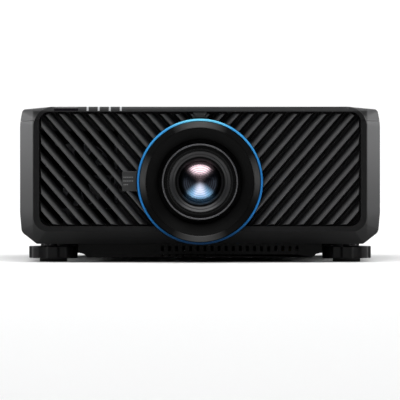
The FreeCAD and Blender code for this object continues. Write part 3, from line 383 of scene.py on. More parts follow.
WEDGE_SLOPE, RIPPLE_PITCH, RIPPLE_SHARE = 0.85, 2.9 * MM, 0.4
GLASS_PAINTED_REFLECTIONS, tree, principled = shader("glass with painted reflections", (0.01, 0.01, 0.012), 0.26, metallic=1.0)
axes = object_axes(tree)
side_way = node_math(tree, "ABSOLUTE", axes["X"])
up_way = node_math(tree, "SUBTRACT", axes["Z"], LENS.z)
height = node_math(tree, "ABSOLUTE", up_way)
radius = distance(tree, side_way, height)
# Painted reflection: near black at the sides, pink above the axis, blue below it.
wedge = node_math(tree, "SUBTRACT", height, node_math(tree, "MULTIPLY", side_way, WEDGE_SLOPE))
opened = smooth_step(tree, wedge, -6 * MM, 11 * MM)
low_edge = node_math(tree, "MAXIMUM", smooth_step(tree, side_way, 2 * MM, 11 * MM),
                     smooth_step(tree, up_way, -12 * MM, -23 * MM))
blue = blend_colours(tree, low_edge, (0.75, 0.8, 1.0), (0.26, 0.52, 0.82))
tint = blend_colours(tree, smooth_step(tree, up_way, -4 * MM, 4 * MM), blue, (0.66, 0.48, 0.53))
painted_reflection_colour = blend_colours(tree, opened, (0.012, 0.012, 0.016), tint)
# Painted rings for the inner elements' edges seen in the glass.
ripple = node_math(tree, "SINE", node_math(tree, "MULTIPLY", radius, math.tau / RIPPLE_PITCH))
faint = node_math(tree, "MULTIPLY", smooth_step(tree, ripple, -0.2, 0.9),
                  smooth_step(tree, radius, 4 * MM, 14 * MM))
painted_reflection_rings = blend_colours(tree, node_math(tree, "MULTIPLY", faint, RIPPLE_SHARE), painted_reflection_colour, (0.06, 0.08, 0.11))
tree.links.new(painted_reflection_rings, principled.inputs["Base Color"])
print("glass with painted reflections: pink above the axis, blue below it")

# %% [markdown]
# The front cell is turned and anodised, and its colour is near black in rings with grey lands between them.
# The rings are measured from the lens axis.

# %% Material: anodised cell with blacked rings
BLACKED = 0.002
LAND_GLOSS = 27.0


def ringed_metal(name, stops):
    """Grey levels by distance from the lens axis, each reached between two radii in millimetres."""
    shade = (BLACKED, BLACKED, BLACKED)
    material, tree, principled = shader(name, shade, 0.36)
    axes = object_axes(tree)
    reach = distance(tree, axes["X"], node_math(tree, "SUBTRACT", axes["Z"], LENS.z))
    for start, end, grey in stops:
        shade = blend_colours(tree, smooth_step(tree, reach, start * MM, end * MM), shade,
                              (grey, grey, grey * 1.04))
    tree.links.new(shade, principled.inputs["Base Color"])
    tree.links.new(node_math(tree, "MULTIPLY", shade, LAND_GLOSS), principled.inputs["Specular IOR Level"])
    return material


CELL = ringed_metal("anodised cell", [(26.6, 27.4, 0.013), (30.4, 31.0, BLACKED), (32.6, 33.4, 0.018),
                                      (40.0, 41.0, BLACKED)])
BARREL = ringed_metal("anodised barrel", [(41.4, 42.2, 0.006), (43.6, 44.2, BLACKED)])
print("front cell: grey lands between blacked rings")

# %% [markdown]
# The trim ring is a deep metallic blue whose light and shade are painted into its colour by height: near
# black at the bottom, lighter above, and a painted highlight at its crown. The satin band inside it has a
# painted sheen: its gloss comes and goes in four lobes around the axis and is stronger towards the top. A
# height and an angle in Object coordinates give both.

# %% Materials: blue trim and satin band
BLUE_PAINTED_LIGHT, tree, principled = shader("blue trim", (0.02, 0.23, 0.62), 0.3, specular=0.08)
rise = object_axes(tree)["Z"]
# Painted light and shade: near black below, lighter above, a painted highlight at the crown.
low_half = smooth_step(tree, rise, LENS.z - 1.05 * RING, LENS.z - 0.2 * RING)
high_half = smooth_step(tree, rise, LENS.z + 0.1 * RING, LENS.z + 0.85 * RING)
crown = smooth_step(tree, rise, LENS.z + 0.8 * RING, LENS.z + 1.04 * RING)
painted_shade_low = blend_colours(tree, low_half, (0.0, 0.014, 0.045), (0.02, 0.17, 0.46))
painted_light_high = blend_colours(tree, high_half, painted_shade_low, (0.05, 0.34, 0.74))
painted_crown_highlight = blend_colours(tree, crown, painted_light_high, (0.2, 0.72, 0.95))
tree.links.new(painted_crown_highlight, principled.inputs["Base Color"])

LOBES = 4.0
BAND_PAINTED_SHEEN, tree, principled = shader("satin band", (0.004, 0.004, 0.004), 0.3)
axes = object_axes(tree)
rise = node_math(tree, "SUBTRACT", axes["Z"], LENS.z)
# Painted sheen: four gloss lobes around the axis, stronger towards the top.
turn = node_math(tree, "ARCTAN2", rise, axes["X"])
lobes = node_math(tree, "COSINE", node_math(tree, "MULTIPLY", turn, LOBES))
even = spread(tree, rise, 0.5, 2.0, -RING, RING)
tree.links.new(node_math(tree, "MULTIPLY", spread(tree, lobes, 0.02, 0.45, -0.4, 1.0), even),
               principled.inputs["Specular IOR Level"])
print("blue trim and satin band")

# %% [markdown]
# The grille's bars carry painted light: they are lighter along the crests, where the light from above falls,
# and darker in the grooves as painted shade. How far a point lies behind the foremost crest gives the shade.

# %% Material: grille plastic with painted light on the crests
CREST_LIGHT_DEPTH = 5.5 * MM
GRILLE_PLASTIC, tree, principled = shader("satin grille plastic", (0.012, 0.012, 0.0125), 0.34)
# Painted light: lighter at the crests, painted shade in the grooves.
depth = node_math(tree, "SUBTRACT", object_axes(tree)["Y"], BAR_FRONT)
painted_crest_light = smooth_step(tree, depth, CREST_LIGHT_DEPTH, 0)
tree.links.new(blend_colours(tree, painted_crest_light, (0.007, 0.007, 0.0073), (0.048, 0.048, 0.049)),
               principled.inputs["Base Color"])
add_bump(tree, principled, object_noise(tree, 7000, 2), 0.006 * MM)
print("grille plastic: lighter along the crests")

# %% [markdown]
# The case is one moulded colour with a lighter lacquer on its outer edges: the side chamfers and the
# shoulders. The lacquer fades in over three millimetres, so its border follows the case's own edge line.
# Painted light is laid over it: the lacquer fades out towards the bottom as painted shade, and gets lighter
# with height, but less so on the roof, above the seam. The front edge of the roof gets a lighter painted
# highlight along its length.

# %% Material: case plastic with lacquered edges and painted light
PAINTED_TOP_LIGHT, ROOF_PAINTED_LIGHT, CROWN_PAINTED_HIGHLIGHT = 1.9, 0.4, 0.6


def lacquer_and_painted_light(name, dark, light, roughness):
    """Dark plastic with a lighter lacquer towards the sides, and painted light: lighter with height, darker
    towards the bottom, and a painted highlight along the crown.
    """
    material, tree, principled = shader(name, dark, roughness, specular=0.1)
    axes = object_axes(tree)
    # Painted light: the lacquer fades out towards the bottom, gets lighter with height, less so above the
    # seam, and the roof's front edge gets a painted highlight.
    edge = smooth_step(tree, node_math(tree, "ABSOLUTE", axes["X"]), 220.6 * MM, 223.4 * MM)
    painted_low_shade = smooth_step(tree, axes["Z"], 25 * MM, 75 * MM)
    crown = smooth_step(tree, axes["Z"], 199.5 * MM, 202.5 * MM)
    below_seam = smooth_step(tree, axes["Z"], SEAM + 2 * MM, SEAM)
    share = node_math(tree, "ADD", node_math(tree, "MULTIPLY", below_seam, 1 - ROOF_PAINTED_LIGHT), ROOF_PAINTED_LIGHT)
    painted_height_light = node_math(tree, "MULTIPLY", smooth_step(tree, axes["Z"], 60 * MM, 190 * MM), share)
    mask = node_math(tree, "MAXIMUM", node_math(tree, "MULTIPLY", edge, painted_low_shade),
                     node_math(tree, "MULTIPLY", crown, CROWN_PAINTED_HIGHLIGHT))
    lacquer = blend_colours(tree, painted_height_light, light, [c * PAINTED_TOP_LIGHT for c in light])
    tree.links.new(blend_colours(tree, mask, dark, lacquer), principled.inputs["Base Color"])
    uneven_gloss(tree, principled, roughness, 0.01)
    add_bump(tree, principled, object_noise(tree, CASE_GRAIN, 2), CASE_GRAIN_DEPTH)
    return material


CASE_PLASTIC = lacquer_and_painted_light("grained case plastic", (0.0075, 0.0075, 0.0077), (0.045, 0.045, 0.046), 0.47)
print("case plastic: dark in front, lighter on the chamfers")

# %% [markdown]
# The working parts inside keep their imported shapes. Each gets the finish that its maker would buy: rods and
# screws are ground steel, carriages machined alloy, housings cast. What is seen through the vents is
# blackened, because a bright part behind a slot would draw the eye.

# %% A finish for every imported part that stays
CAD_FINISH = {
    CHASSIS_PAINT: ["bottom_chassis", "power_supply"],
    CASE_PLASTIC: ["rear_panel", "filter_cover"],
    BELLY_PLASTIC: ["ac_inlet", "power_switch"],
    KEY_PLASTIC: [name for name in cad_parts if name.endswith("_key")],
    BRASS: ["chassis_inserts"],
    BLACK_OXIDE: ["casing_screws", "shift_frame", "laser_heatsink"],
    GEAR_PLASTIC: ["focus_ring", "zoom_ring", "focus_pinion", "zoom_pinion"],
    STEEL: ["lens_motors", "x_guide_rods", "z_guide_rods", "x_lead_screw", "z_lead_screw", "x_shift_motor",
            "z_shift_motor"],
    ALLOY: ["x_carriage", "z_carriage"],
    CAST: ["engine_housing", "laser_module"],
    BARREL: ["zoom_cell"],
    WINDOW: ["rear_glass"],
    PHOSPHOR: ["phosphor_wheel"],
    BOARD: ["main_board"],
    FAN_PLASTIC: ["front_fan_frame", "front_fan_rotor"],
    FILTER_FELT: ["air_filter"],
    NICKEL: ["io_ports"],
}
for finish, names in CAD_FINISH.items():
    for name in names:
        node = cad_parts[name]
        node.data.materials.clear()
        node.data.materials.append(finish)
print(f"{sum(len(names) for names in CAD_FINISH.values())} packed parts have their finish")

# %% [markdown]
# The casing's front is a picture frame: a flat bezel whose outer corners are round, set 26 mm ahead of the
# case's own outline, with a broad chamfer between the two. The quickest true way is three closed outlines,
# each a polygon whose corners are rounded by a vertex bevel, joined by bridges. The same number of points
# on each keeps the faces square.

# %% Outlines of the casing
TOP_SHOULDER, TOP_LIP, SILL = 201.3 * MM, 236.4 * MM, 217.6 * MM
CORNER_STEPS = 12


def rounded_loop(bm, corners, along):
    """A closed outline across the frame, from its right half's corners: place, radius and steps of each."""
    points = corners + [((-x, z), radius, steps) for (x, z), radius, steps in reversed(corners)]
    places = [Vector((x, along, z)) for (x, z), _, _ in points]
    verts = [bm.verts.new(place) for place in places]
    bm.faces.new(verts)
    for number, (_, radius, steps) in enumerate(points):
        before = places[number - 1] - places[number]
        after = places[(number + 1) % len(places)] - places[number]
        reach = radius * math.tan((math.pi - before.angle(after)) / 2)
        bmesh.ops.bevel(bm, geom=[verts[number]], offset=reach, offset_type="OFFSET", segments=steps,
                        profile=0.5, affect="VERTICES", material=-1)
    outline = [face for face in bm.faces if all(abs(v.co.y - along) < 1e-7 for v in face.verts)]
    loop = list(outline[-1].edges)
    bmesh.ops.delete(bm, geom=[outline[-1]], context="FACES_ONLY")
    return loop


CASE_CORNERS = [
    ((TOP_SHOULDER, TOP), 60 * MM, 2), ((TOP_LIP, TOP - 3.3 * MM), 5 * MM, 6),
    ((HALF, SEAM - 2 * MM), 60 * MM, 2), ((HALF, 66 * MM), 60 * MM, 2),
    ((237.8 * MM, 40 * MM), 9 * MM, 6), ((SILL, BASE), 3 * MM, 2),
]
BEZEL_HALF, OPENING_HALF = 221.3 * MM, 213.3 * MM
BEZEL_CORNERS = [((BEZEL_HALF, TOP), 27 * MM, CORNER_STEPS), ((BEZEL_HALF, 41.3 * MM), 19 * MM, CORNER_STEPS)]
OPENING_CORNERS = [((OPENING_HALF, 199.7 * MM), 13 * MM, CORNER_STEPS),
                   ((OPENING_HALF, 48.1 * MM), 14 * MM, CORNER_STEPS)]
print("case outline", len(CASE_CORNERS), "corners a side; bezel and opening", len(BEZEL_CORNERS), "each")

# %% [markdown]
# The skin is an open surface until the parting line is cut. Splitting one surface at the seam guarantees
# that the roof and the front meet edge to edge. The roof's front edge gets its own wide bevel because it is
# the one edge that catches the light along its whole length. Solidify then grows 3 mm of wall inwards, as
# the real moulding has.

# %% The casing's skin in one surface
COLLAR, ROOF_ROUND = 11.8 * MM, 4.5 * MM


def casing_skin():
    """Collar, bezel, front chamfer, sides and rear, all still open at the grille."""
    bm = bmesh.new()
    case = rounded_loop(bm, CASE_CORNERS, SHOULDER)
    rim = rounded_loop(bm, BEZEL_CORNERS, BEZEL)
    mouth = rounded_loop(bm, OPENING_CORNERS, BEZEL)
    bmesh.ops.bridge_loops(bm, edges=case + rim)
    bmesh.ops.triangle_fill(bm, use_beauty=True, use_dissolve=False, edges=rim + mouth)
    collar = bmesh.ops.extrude_edge_only(bm, edges=mouth)["geom"]
    for vert in verts_of(collar):
        vert.co.y += COLLAR
    tube = bmesh.ops.extrude_edge_only(bm, edges=case)["geom"]
    for vert in verts_of(tube):
        vert.co.y = REAR
    bmesh.ops.recalc_face_normals(bm, faces=bm.faces)
    round_off(bm, TOP - 0.05 * MM, BEZEL + 0.05 * MM, ROOF_ROUND)
    return bm


def round_off(bm, above, ahead, width):
    """Rounds the edges that lie above one height and in front of one depth."""
    found = [e for e in bm.edges if all(v.co.z > above and v.co.y < ahead for v in e.verts)]
    bmesh.ops.bevel(bm, geom=found, offset=width, segments=7, profile=0.5, affect="EDGES", material=-1,
                    clamp_overlap=True)


def keep_side(bm, place, normal):
    """Cuts a surface by a plane and keeps what lies on the normal's side."""
    bmesh.ops.bisect_plane(bm, geom=bm.verts[:] + bm.edges[:] + bm.faces[:], plane_co=place, plane_no=normal,
                           clear_inner=True, dist=1e-6)


skin = casing_skin()
print(len(skin.faces), "faces in the skin")

# %% [markdown]
# The roof is what the skin has above the seam, closed at the back by a short wall and thickened. The remote
# window and the four status lights sit in notches in its front edge, cut by one Boolean.

# %% Top cover
GAP = 0.25 * MM
STRIP = TOP - 5.8 * MM
WINDOW_LEFT, WINDOW_RIGHT, WINDOW_DEEP = -193.7 * MM, -161.5 * MM, 3 * MM
LIGHTS = [x * MM for x in (-149.1, -134.4, -119.7, -105.1)]
LIGHT_HALF, LIGHT_DEEP = 1.4 * MM, 8.9 * MM
roof = skin.copy()
keep_side(roof, (0, 0, SEAM), (0, 0, 1))
rear_rim = [e for e in roof.edges if e.is_boundary and all(v.co.y > REAR - MM for v in e.verts)]
rear_wall = bmesh.ops.extrude_edge_only(roof, edges=rear_rim)["geom"]
for vert in verts_of(rear_wall):
    vert.co.z = SEAM
bmesh.ops.remove_doubles(roof, verts=roof.verts, dist=0.01 * MM)
roof = thicken(roof, WALL)
notches = bmesh.new()
add_block(notches, (WINDOW_LEFT, BEZEL - MM, STRIP), (WINDOW_RIGHT, BEZEL + WINDOW_DEEP + 0.1 * MM, TOP + MM))
for x in LIGHTS:
    add_block(notches, (x - LIGHT_HALF, BEZEL - MM, STRIP),
              (x + LIGHT_HALF, BEZEL + LIGHT_DEEP + 0.1 * MM, TOP + MM))
roof = carve(roof, notches)
finish_piece("roof_shell", roof, "housing", CASE_PLASTIC, ["top_cover"], edge=0.6 * MM)

# %% [markdown]
# The front cover is the same skin below the seam, as far back as the shoulder. A drum cuts the round hole
# that the trim ring fits with a third of a millimetre to spare.

# %% Front cover, with the round hole for the ring
front = skin.copy()
keep_side(front, (0, 0, SEAM - 2 * GAP), (0, 0, -1))
keep_side(front, (0, SHOULDER, 0), (0, -1, 0))
front = thicken(front, WALL)
lens_hole = bmesh.new()
add_drum(lens_hole, Vector((0, BEZEL, LENS.z)), "Y", RING + 0.3 * MM, 60 * MM, steps=160)
front = carve(front, lens_hole)
finish_piece("front_bezel", front, "housing", CASE_PLASTIC, ["front_cover"], edge=0.5 * MM)

# %% [markdown]
# Under the chamfer a flat wall closes the front of the belly. Twenty intake slots and as many small drains
# are cut in it by one Boolean with all the cutters in one mesh, which is quicker and cleaner than forty
# separate cuts.

# %% Belly wall with its vents
VENTS = [(-50 + 9.44 * k) * MM for k in range(20)]
VENT_HALF, DRAIN_HALF = 1.8 * MM, 1.35 * MM
BELLY_HALF = 162.5 * MM
BELLY_CORNERS = [((BELLY_HALF, BASE + WALL), 0.5 * MM, 2), ((BELLY_HALF, 12.6 * MM), 1.5 * MM, 2),
                 ((154.5 * MM, 10.8 * MM), 2 * MM, 2), ((150.5 * MM, BELLY), 2 * MM, 2)]
belly = bmesh.new()
belly_loop = rounded_loop(belly, BELLY_CORNERS, SHOULDER)
belly_face = bmesh.ops.contextual_create(belly, geom=belly_loop)["faces"]
pushed(belly, belly_face, (0, BELLY_BACK - SHOULDER, 0))
vents = bmesh.new()
for x in VENTS:
    for half, low, high in ((VENT_HALF, 14.7 * MM, 21.5 * MM), (DRAIN_HALF, 7.6 * MM, 10 * MM)):
        add_block(vents, (x - half, SHOULDER - MM, low), (x + half, BELLY_BACK + MM, high))
belly = carve(belly, vents)
finish_piece("belly_wall", belly, "housing", BELLY_PLASTIC, edge=0.35 * MM)

# %% [markdown]
# The side covers are the rest of the skin. Air leaves one side through fifteen slanted slots and comes in
# by the filter's opening on the other. A slot is a block that a shear matrix leans back.

# %% Side covers, with slots on one side and the filter's opening on the other
SLOT_COUNT, SLOT_PITCH, SLOT_FIRST, SLOT_LEAN = 15, 15, -145, 0.6
SLOT_LOW, SLOT_LONG, SLOT_HALF = 68 * MM, 100 * MM, 3 * MM
FILTER_LOW, FILTER_HIGH = Vector((0, -122, 60)) * MM, Vector((0, 102, 172)) * MM
THROUGH = 5 * MM
for side, slots in ((-1, True), (1, False)):
    cover = skin.copy()
    keep_side(cover, (0, 0, SEAM - 2 * GAP), (0, 0, -1))
    keep_side(cover, (0, SHOULDER + 0.3 * MM, 0), (0, 1, 0))
    keep_side(cover, (side * SILL, 0, 0), (side, 0, 0))
    cover = thicken(cover, WALL)
    cutters = bmesh.new()
    if slots:
        shear = Matrix.Identity(4)
        shear[1][2] = SLOT_LEAN
        for k in range(SLOT_COUNT):
            slot = add_block(cutters, (-HALF - MM, -SLOT_HALF, 0), (-HALF + THROUGH, SLOT_HALF, SLOT_LONG))
            place = Matrix.Translation((0, (SLOT_FIRST + SLOT_PITCH * k) * MM, SLOT_LOW))
            bmesh.ops.transform(cutters, matrix=place @ shear, verts=slot)
    else:
        add_block(cutters, (HALF - THROUGH, *FILTER_LOW.yz), (HALF + MM, *FILTER_HIGH.yz))
    cover = carve(cover, cutters)
    name = "left" if slots else "right"
    finish_piece(f"{name}_cover", cover, "housing", CASE_PLASTIC, [f"side_cover_{name}"],
                 edge=0.5 * MM)
skin.free()

# %% [markdown]
# The grille is one moulding: bars with a broad rounded face stand on a backing plate and lean towards the
# lens from both sides, and a slim ridge lies in each groove. A bar is a short profile extruded, repeated at
# an even pitch, and then trimmed as a whole with an outline that narrows towards the front, so that every
# bar's end slopes back.

# %% Bars and ridges of one half
PITCH, LEAN = 14.6 * MM, math.radians(49.2)
BAR_FIRST, BAR_LAST, BAR_START, BAR_LONG = -8, 22, 210 * MM, 460 * MM
ALONG = Vector((math.cos(LEAN), 0, -math.sin(LEAN)))
ACROSS = Vector((math.sin(LEAN), 0, math.cos(LEAN)))
CREST = Vector((-197.6 * MM, 0, 148.8 * MM))
EXHAUST_LOW, EXHAUST_HIGH = Vector((-213, 0, 52)) * MM, Vector((-109.5, 0, 174.5)) * MM


def lean_bars(bm, profile, shift):
    """Parallel bars with one profile of (across, along Y) corners."""
    for k in range(BAR_FIRST, BAR_LAST):
        middle = CREST + ACROSS * (k * PITCH + shift) - ALONG * BAR_START
        verts = [bm.verts.new(middle + ACROSS * across + Vector((0, y, 0))) for across, y in profile]
        face = bm.faces.new(verts)
        pushed(bm, [face], ALONG * BAR_LONG)


BAR_PROFILE = [(4.4, 1), (4.3, 0), (3.5, -2), (2.3, -4.1), (0.9, -6), (-0.7, -7.6), (-2.0, -8.4),
               (-3.0, -8.6), (-3.8, -8.2), (-4.3, -7), (-4.5, -4.5), (-4.6, 0), (-4.6, 1)]
RIDGE_PROFILE = [(0.8, 1), (0.8, -1.2), (0.4, -2), (0, -2.3), (-0.4, -2), (-0.8, -1.2), (-0.8, 1)]


def on_plate(profile):
    """A profile in millimetres, set on the plate's front face."""
    return [(across * MM, PLATE_FRONT + y * MM) for across, y in profile]


def opening_corners(inset):
    """The corners of the grille's opening, moved inwards."""
    return [((x - inset, z + (-inset if z > LENS.z else inset)), r, n) for (x, z), r, n in OPENING_CORNERS]


def opening_prism(inset_front):
    """The grille opening as a solid that narrows towards the front."""
    bm = bmesh.new()
    loops = []
    for along, inset in ((PLATE_BACK + MM, -2 * MM), (BAR_FRONT - MM, inset_front)):
        loops.append(rounded_loop(bm, opening_corners(inset), along))
    bmesh.ops.bridge_loops(bm, edges=loops[0] + loops[1])
    bmesh.ops.holes_fill(bm, edges=[e for e in bm.edges if e.is_boundary], sides=0)
    bmesh.ops.recalc_face_normals(bm, faces=bm.faces)
    return bm


def lens_plug():
    """What the ring takes out of the grille."""
    bm = bmesh.new()
    add_drum(bm, Vector((0, PLATE_FRONT, LENS.z)), "Y", RING + 0.2 * MM, 60 * MM, steps=160)
    return bm


def left_half(profile, shift, inset_front):
    """The bars of the left half, trimmed to the opening and to the ring."""
    bm = bmesh.new()
    lean_bars(bm, on_plate(profile), shift)
    trimmed = carve(carve(bm, opening_prism(inset_front), "INTERSECT"), lens_plug())
    keep = bmesh.new()
    add_block(keep, (-260 * MM, GRILLE_AHEAD, 0), (0, GRILLE_BEHIND, TOP))
    return carve(trimmed, keep, "INTERSECT")


GRILLE_AHEAD, GRILLE_BEHIND = -250 * MM, -220 * MM
bars = left_half(BAR_PROFILE, 0, 3.2 * MM)
ridges = left_half(RIDGE_PROFILE, PITCH / 2, 2 * MM)
print(f"{len(bars.faces)} faces in the bars and {len(ridges.faces)} in the ridges of one half")

# %% [markdown]
# The right half is the left one mirrored, faces turned round again so that they still look outwards. The
# exhaust fan blows through the left half, so the plate and the ridges are open there and only the bars run
# on.

# %% The grille's three pieces: bars, ridges and the plate with its exhaust opening
def flipped(bm):
    """The same mesh on the other side of the centre line."""
    other = bm.copy()
    bmesh.ops.scale(other, vec=(-1, 1, 1), verts=other.verts)
    bmesh.ops.reverse_faces(other, faces=other.faces)
    return other


def joined(*parts):
    """Several meshes as one."""
    whole = bmesh.new()
    for part in parts:
        mesh = bpy.data.meshes.new("joining")
        part.to_mesh(mesh)
        part.free()
        whole.from_mesh(mesh)
        bpy.data.meshes.remove(mesh)
    return whole


def exhaust():
    """The opening that the fan blows through."""
    bm = bmesh.new()
    add_block(bm, (EXHAUST_LOW.x, GRILLE_AHEAD, EXHAUST_LOW.z),
              (EXHAUST_HIGH.x, GRILLE_BEHIND, EXHAUST_HIGH.z))
    return bm


plate = bmesh.new()
plate_loop = rounded_loop(plate, opening_corners(-2 * MM), PLATE_FRONT)
plate_face = bmesh.ops.contextual_create(plate, geom=plate_loop)["faces"]
pushed(plate, plate_face, (0, PLATE_BACK - PLATE_FRONT, 0))
plate = carve(carve(plate, lens_plug()), exhaust())
right_ridges = flipped(ridges)
left_ridges = carve(ridges, exhaust())
finish_piece("grille_bars", joined(bars, flipped(bars)), "housing", GRILLE_PLASTIC,
             ["front_grille"], sharp=38)
finish_piece("grille_ridges", joined(left_ridges, right_ridges), "housing", GRILLE_PLASTIC,
             sharp=50)
finish_piece("grille_plate", plate, "housing", BELLY_PLASTIC, edge=0.3 * MM)

# %% [markdown]
# At the middle of the top edge a small wedge-shaped tab holds the grille's latch. It is a flat trapezium,
# so its four corners are simply listed and the face is extruded. A small plate for a label sits beside the
# lens; the raised dashes on it only stand for lines of print.

# %% Latch tab and label plate
TAB_FRONT, TAB_THICK = -241.5 * MM, 11 * MM
TAB_CORNERS = ((-9.4, 199.6), (-5.8, 191.8), (5.8, 191.8), (9.4, 199.6))
tab = bmesh.new()
tab_face = tab.faces.new([tab.verts.new((x * MM, TAB_FRONT, z * MM)) for x, z in TAB_CORNERS])
pushed(tab, [tab_face], (0, TAB_THICK, 0))
finish_piece("latch_tab", tab, "housing", TAB_PLASTIC, edge=0.6 * MM)
LABEL_FRONT, DASH_HIGH, DASH_LONG, DASH_PITCH = -239.9 * MM, 1.3, 1.5, 2.25
label = bmesh.new()
add_block(label, (-103.5 * MM, LABEL_FRONT, 94.5 * MM), (-81 * MM, PLATE_FRONT, 121 * MM))
finish_piece("label_plate", carve(label, lens_plug()), "housing", TAB_PLASTIC,
             edge=0.5 * MM, segments=3)
print_lines = bmesh.new()
for low, count in ((112.5, 6), (107.5, 6), (102.6, 3)):
    for k in range(count):
        left = -101.6 + DASH_PITCH * k
        add_block(print_lines, (left * MM, LABEL_FRONT - 0.2 * MM, low * MM),
                  ((left + DASH_LONG) * MM, LABEL_FRONT + 0.1 * MM, (low + DASH_HIGH) * MM))
finish_piece("label_dashes", print_lines, "housing", PRINT, weighted=False)

# %% [markdown]
# Everything about the lens is round, so each piece is one closed profile spun about the lens axis. Rounding
# profile corners before the spin costs nothing and gives the thin highlights that make the rings read as
# separate parts.

# %% Surround, trim ring and lens
AXIS = Vector((0, 0, LENS.z))
band = turned(in_mm((-250.9, 80.3), (-251.3, 79.6), (-247.6, 72.4), (-247.1, 71.9), (-245.5, 71.9),
                    (-245.5, 80.3)), AXIS, rounds={2: 0.8 * MM})
finish_piece("dish_band", band, "housing", BAND_PAINTED_SHEEN, sharp=25)
surround = turned(in_mm((-247, 71.7), (-240, 56.2), (-238.2, 55.3), (-226, 55.3), (-226, 58.5), (-236, 58.5),
                        (-243, 75), (-243, 81), (-214, 81), (-214, 84), (-248.7, 84), (-248.7, 80.4),
                        (-245.4, 80.4), (-245.4, 71.8)), AXIS, rounds={1: 1.2 * MM})
finish_piece("lens_dish", surround, "housing", SURROUND, ["lens_surround"], sharp=25)
RING_INSIDE, RING_OUTSIDE, LIP = 80.5 * MM, 83.4 * MM, 0.3 * MM
ring = turned([(RING_FACE + 1.6 * MM, RING_INSIDE), (RING_FACE, 81.3 * MM), (RING_FACE, 82.7 * MM),
               (RING_FACE + 0.9 * MM, RING_OUTSIDE), (RING_HIGH.y, RING_OUTSIDE),
               (RING_HIGH.y, RING_INSIDE)], AXIS, rounds={1: LIP, 2: LIP})
finish_piece("trim_ring", ring, "housing", BLUE_PAINTED_LIGHT, ["blue_trim_ring"], sharp=40)
barrel = turned(in_mm((-249.2, 48.3), (-249.2, 50.6), (-191.5, 50.6), (-191.5, 54), (-178.5, 54),
                      (-178.5, 50.6), (-163.5, 50.6), (-163.5, 54), (-136, 54), (-136, 62), (-128, 62),
                      (-128, 30), (-100, 30), (-100, 22), (-160, 22), (-160, 41.1), (-244, 41.1),
                      (-244, 43.6), (-245, 43.6), (-245, 46), (-246.2, 46), (-246.2, 48.3)), AXIS)
finish_piece("barrel", barrel, "lens", BARREL, ["lens_barrel"], sharp=25)
rim = turned([(-249.2 * MM, 48.3 * MM), (BARREL_FACE, 48.5 * MM), (BARREL_FACE, 50.2 * MM),
              (-249.2 * MM, 50.6 * MM)], AXIS, rounds={1: LIP, 2: LIP})
finish_piece("barrel_rim", rim, "lens", RIM, sharp=50)
cell = turned(in_mm((-245.6, 41), (-246, 40.6), (-246, 39.8), (-243.2, 36.6), (-243.7, 36.2), (-240.9, 33),
                    (-241.6, 32.7), (-241.6, 31.9), (-239.6, 31.5), (-239.6, 30.8), (-240.3, 30.6),
                    (-238, 29.7), (-238.4, 29.4), (-236.5, 28.6), (-226, 28.6), (-226, 26), (-205, 26),
                    (-205, 41)), AXIS)
finish_piece("front_cell", cell, "focus_group", CELL, ["focus_cell"], sharp=20)
GLASS, DOME, DOME_CENTRE, DOME_STEPS, PIN = 28.5 * MM, 45 * MM, -197 * MM, 14, 0.02 * MM
turns = [math.asin(GLASS / DOME) * k / DOME_STEPS for k in range(DOME_STEPS + 1)]
glass = turned([(DOME_CENTRE - DOME * math.cos(t), max(DOME * math.sin(t), PIN)) for t in turns]
               + [(-226.1 * MM, GLASS), (-226.1 * MM, PIN)], AXIS)
finish_piece("front_lens", glass, "focus_group", GLASS_PAINTED_REFLECTIONS, ["front_glass"], sharp=40,
             weighted=False)
print(f"surround, ring, barrel, cell and glass are spun in {LATHE_STEPS} steps")

# %% [markdown]
# The remote window and the four light guides fill their notches in the roof's front edge, so they share its
# round: each is a block whose upper front edge gets the roof's bevel, or as much of it as its depth allows.
# A second remote window is a small round one in the rear panel. Their tint is nearly black and glossy.

# %% Remote window and light guides
def edge_block(left, right, back):
    """A block set in the roof's front edge, a hair inside its notch."""
    bm = bmesh.new()
    add_block(bm, (left + HAIR, BEZEL, STRIP + HAIR), (right - HAIR, back, TOP))
    round_off(bm, TOP - MM, BEZEL + MM, min(ROOF_ROUND, back - BEZEL - 0.1 * MM))
    return bm


HAIR = 0.08 * MM
window = edge_block(WINDOW_LEFT, WINDOW_RIGHT, BEZEL + WINDOW_DEEP)
add_drum(window, Vector((-150 * MM, 248.5 * MM, 196 * MM)), "Y", 5.9 * MM, 3 * MM, steps=48)
finish_piece("remote_windows", window, "housing", WINDOW, ["ir_windows"], edge=0.15 * MM)
guides = joined(*[edge_block(x - LIGHT_HALF, x + LIGHT_HALF, BEZEL + LIGHT_DEEP) for x in LIGHTS])
finish_piece("light_guides", guides, "housing", GUIDE, ["status_light_guides"], edge=0.15 * MM)

# %% [markdown]
# The feet are turned by hand, so their knobs have eight finger scallops. A disc is carved by eight drums at
# once; the wide bevel on its upper and lower edge is what the fingers feel, and in this light it is also
# what shows the lobes.

# %% Feet
FEET = {"front_left": (-197, -175), "front_right": (197, -175),
        "rear_left": (-197, 195), "rear_right": (197, 195)}
KNOB_LOW, KNOB_HIGH, KNOB = 4.8 * MM, 20.9 * MM, 32.7 * MM
SCALLOPS, SCALLOP, SCALLOP_OUT = 8, 10.5 * MM, 7.7 * MM
PAD, SOCKET = 18.5 * MM, 8.1 * MM


def add_disc(bm, middle, height, radius, thick, steps):
    """An upright drum by the height of its middle."""
    add_drum(bm, middle + Vector((0, 0, height)), "Z", radius, thick, steps)


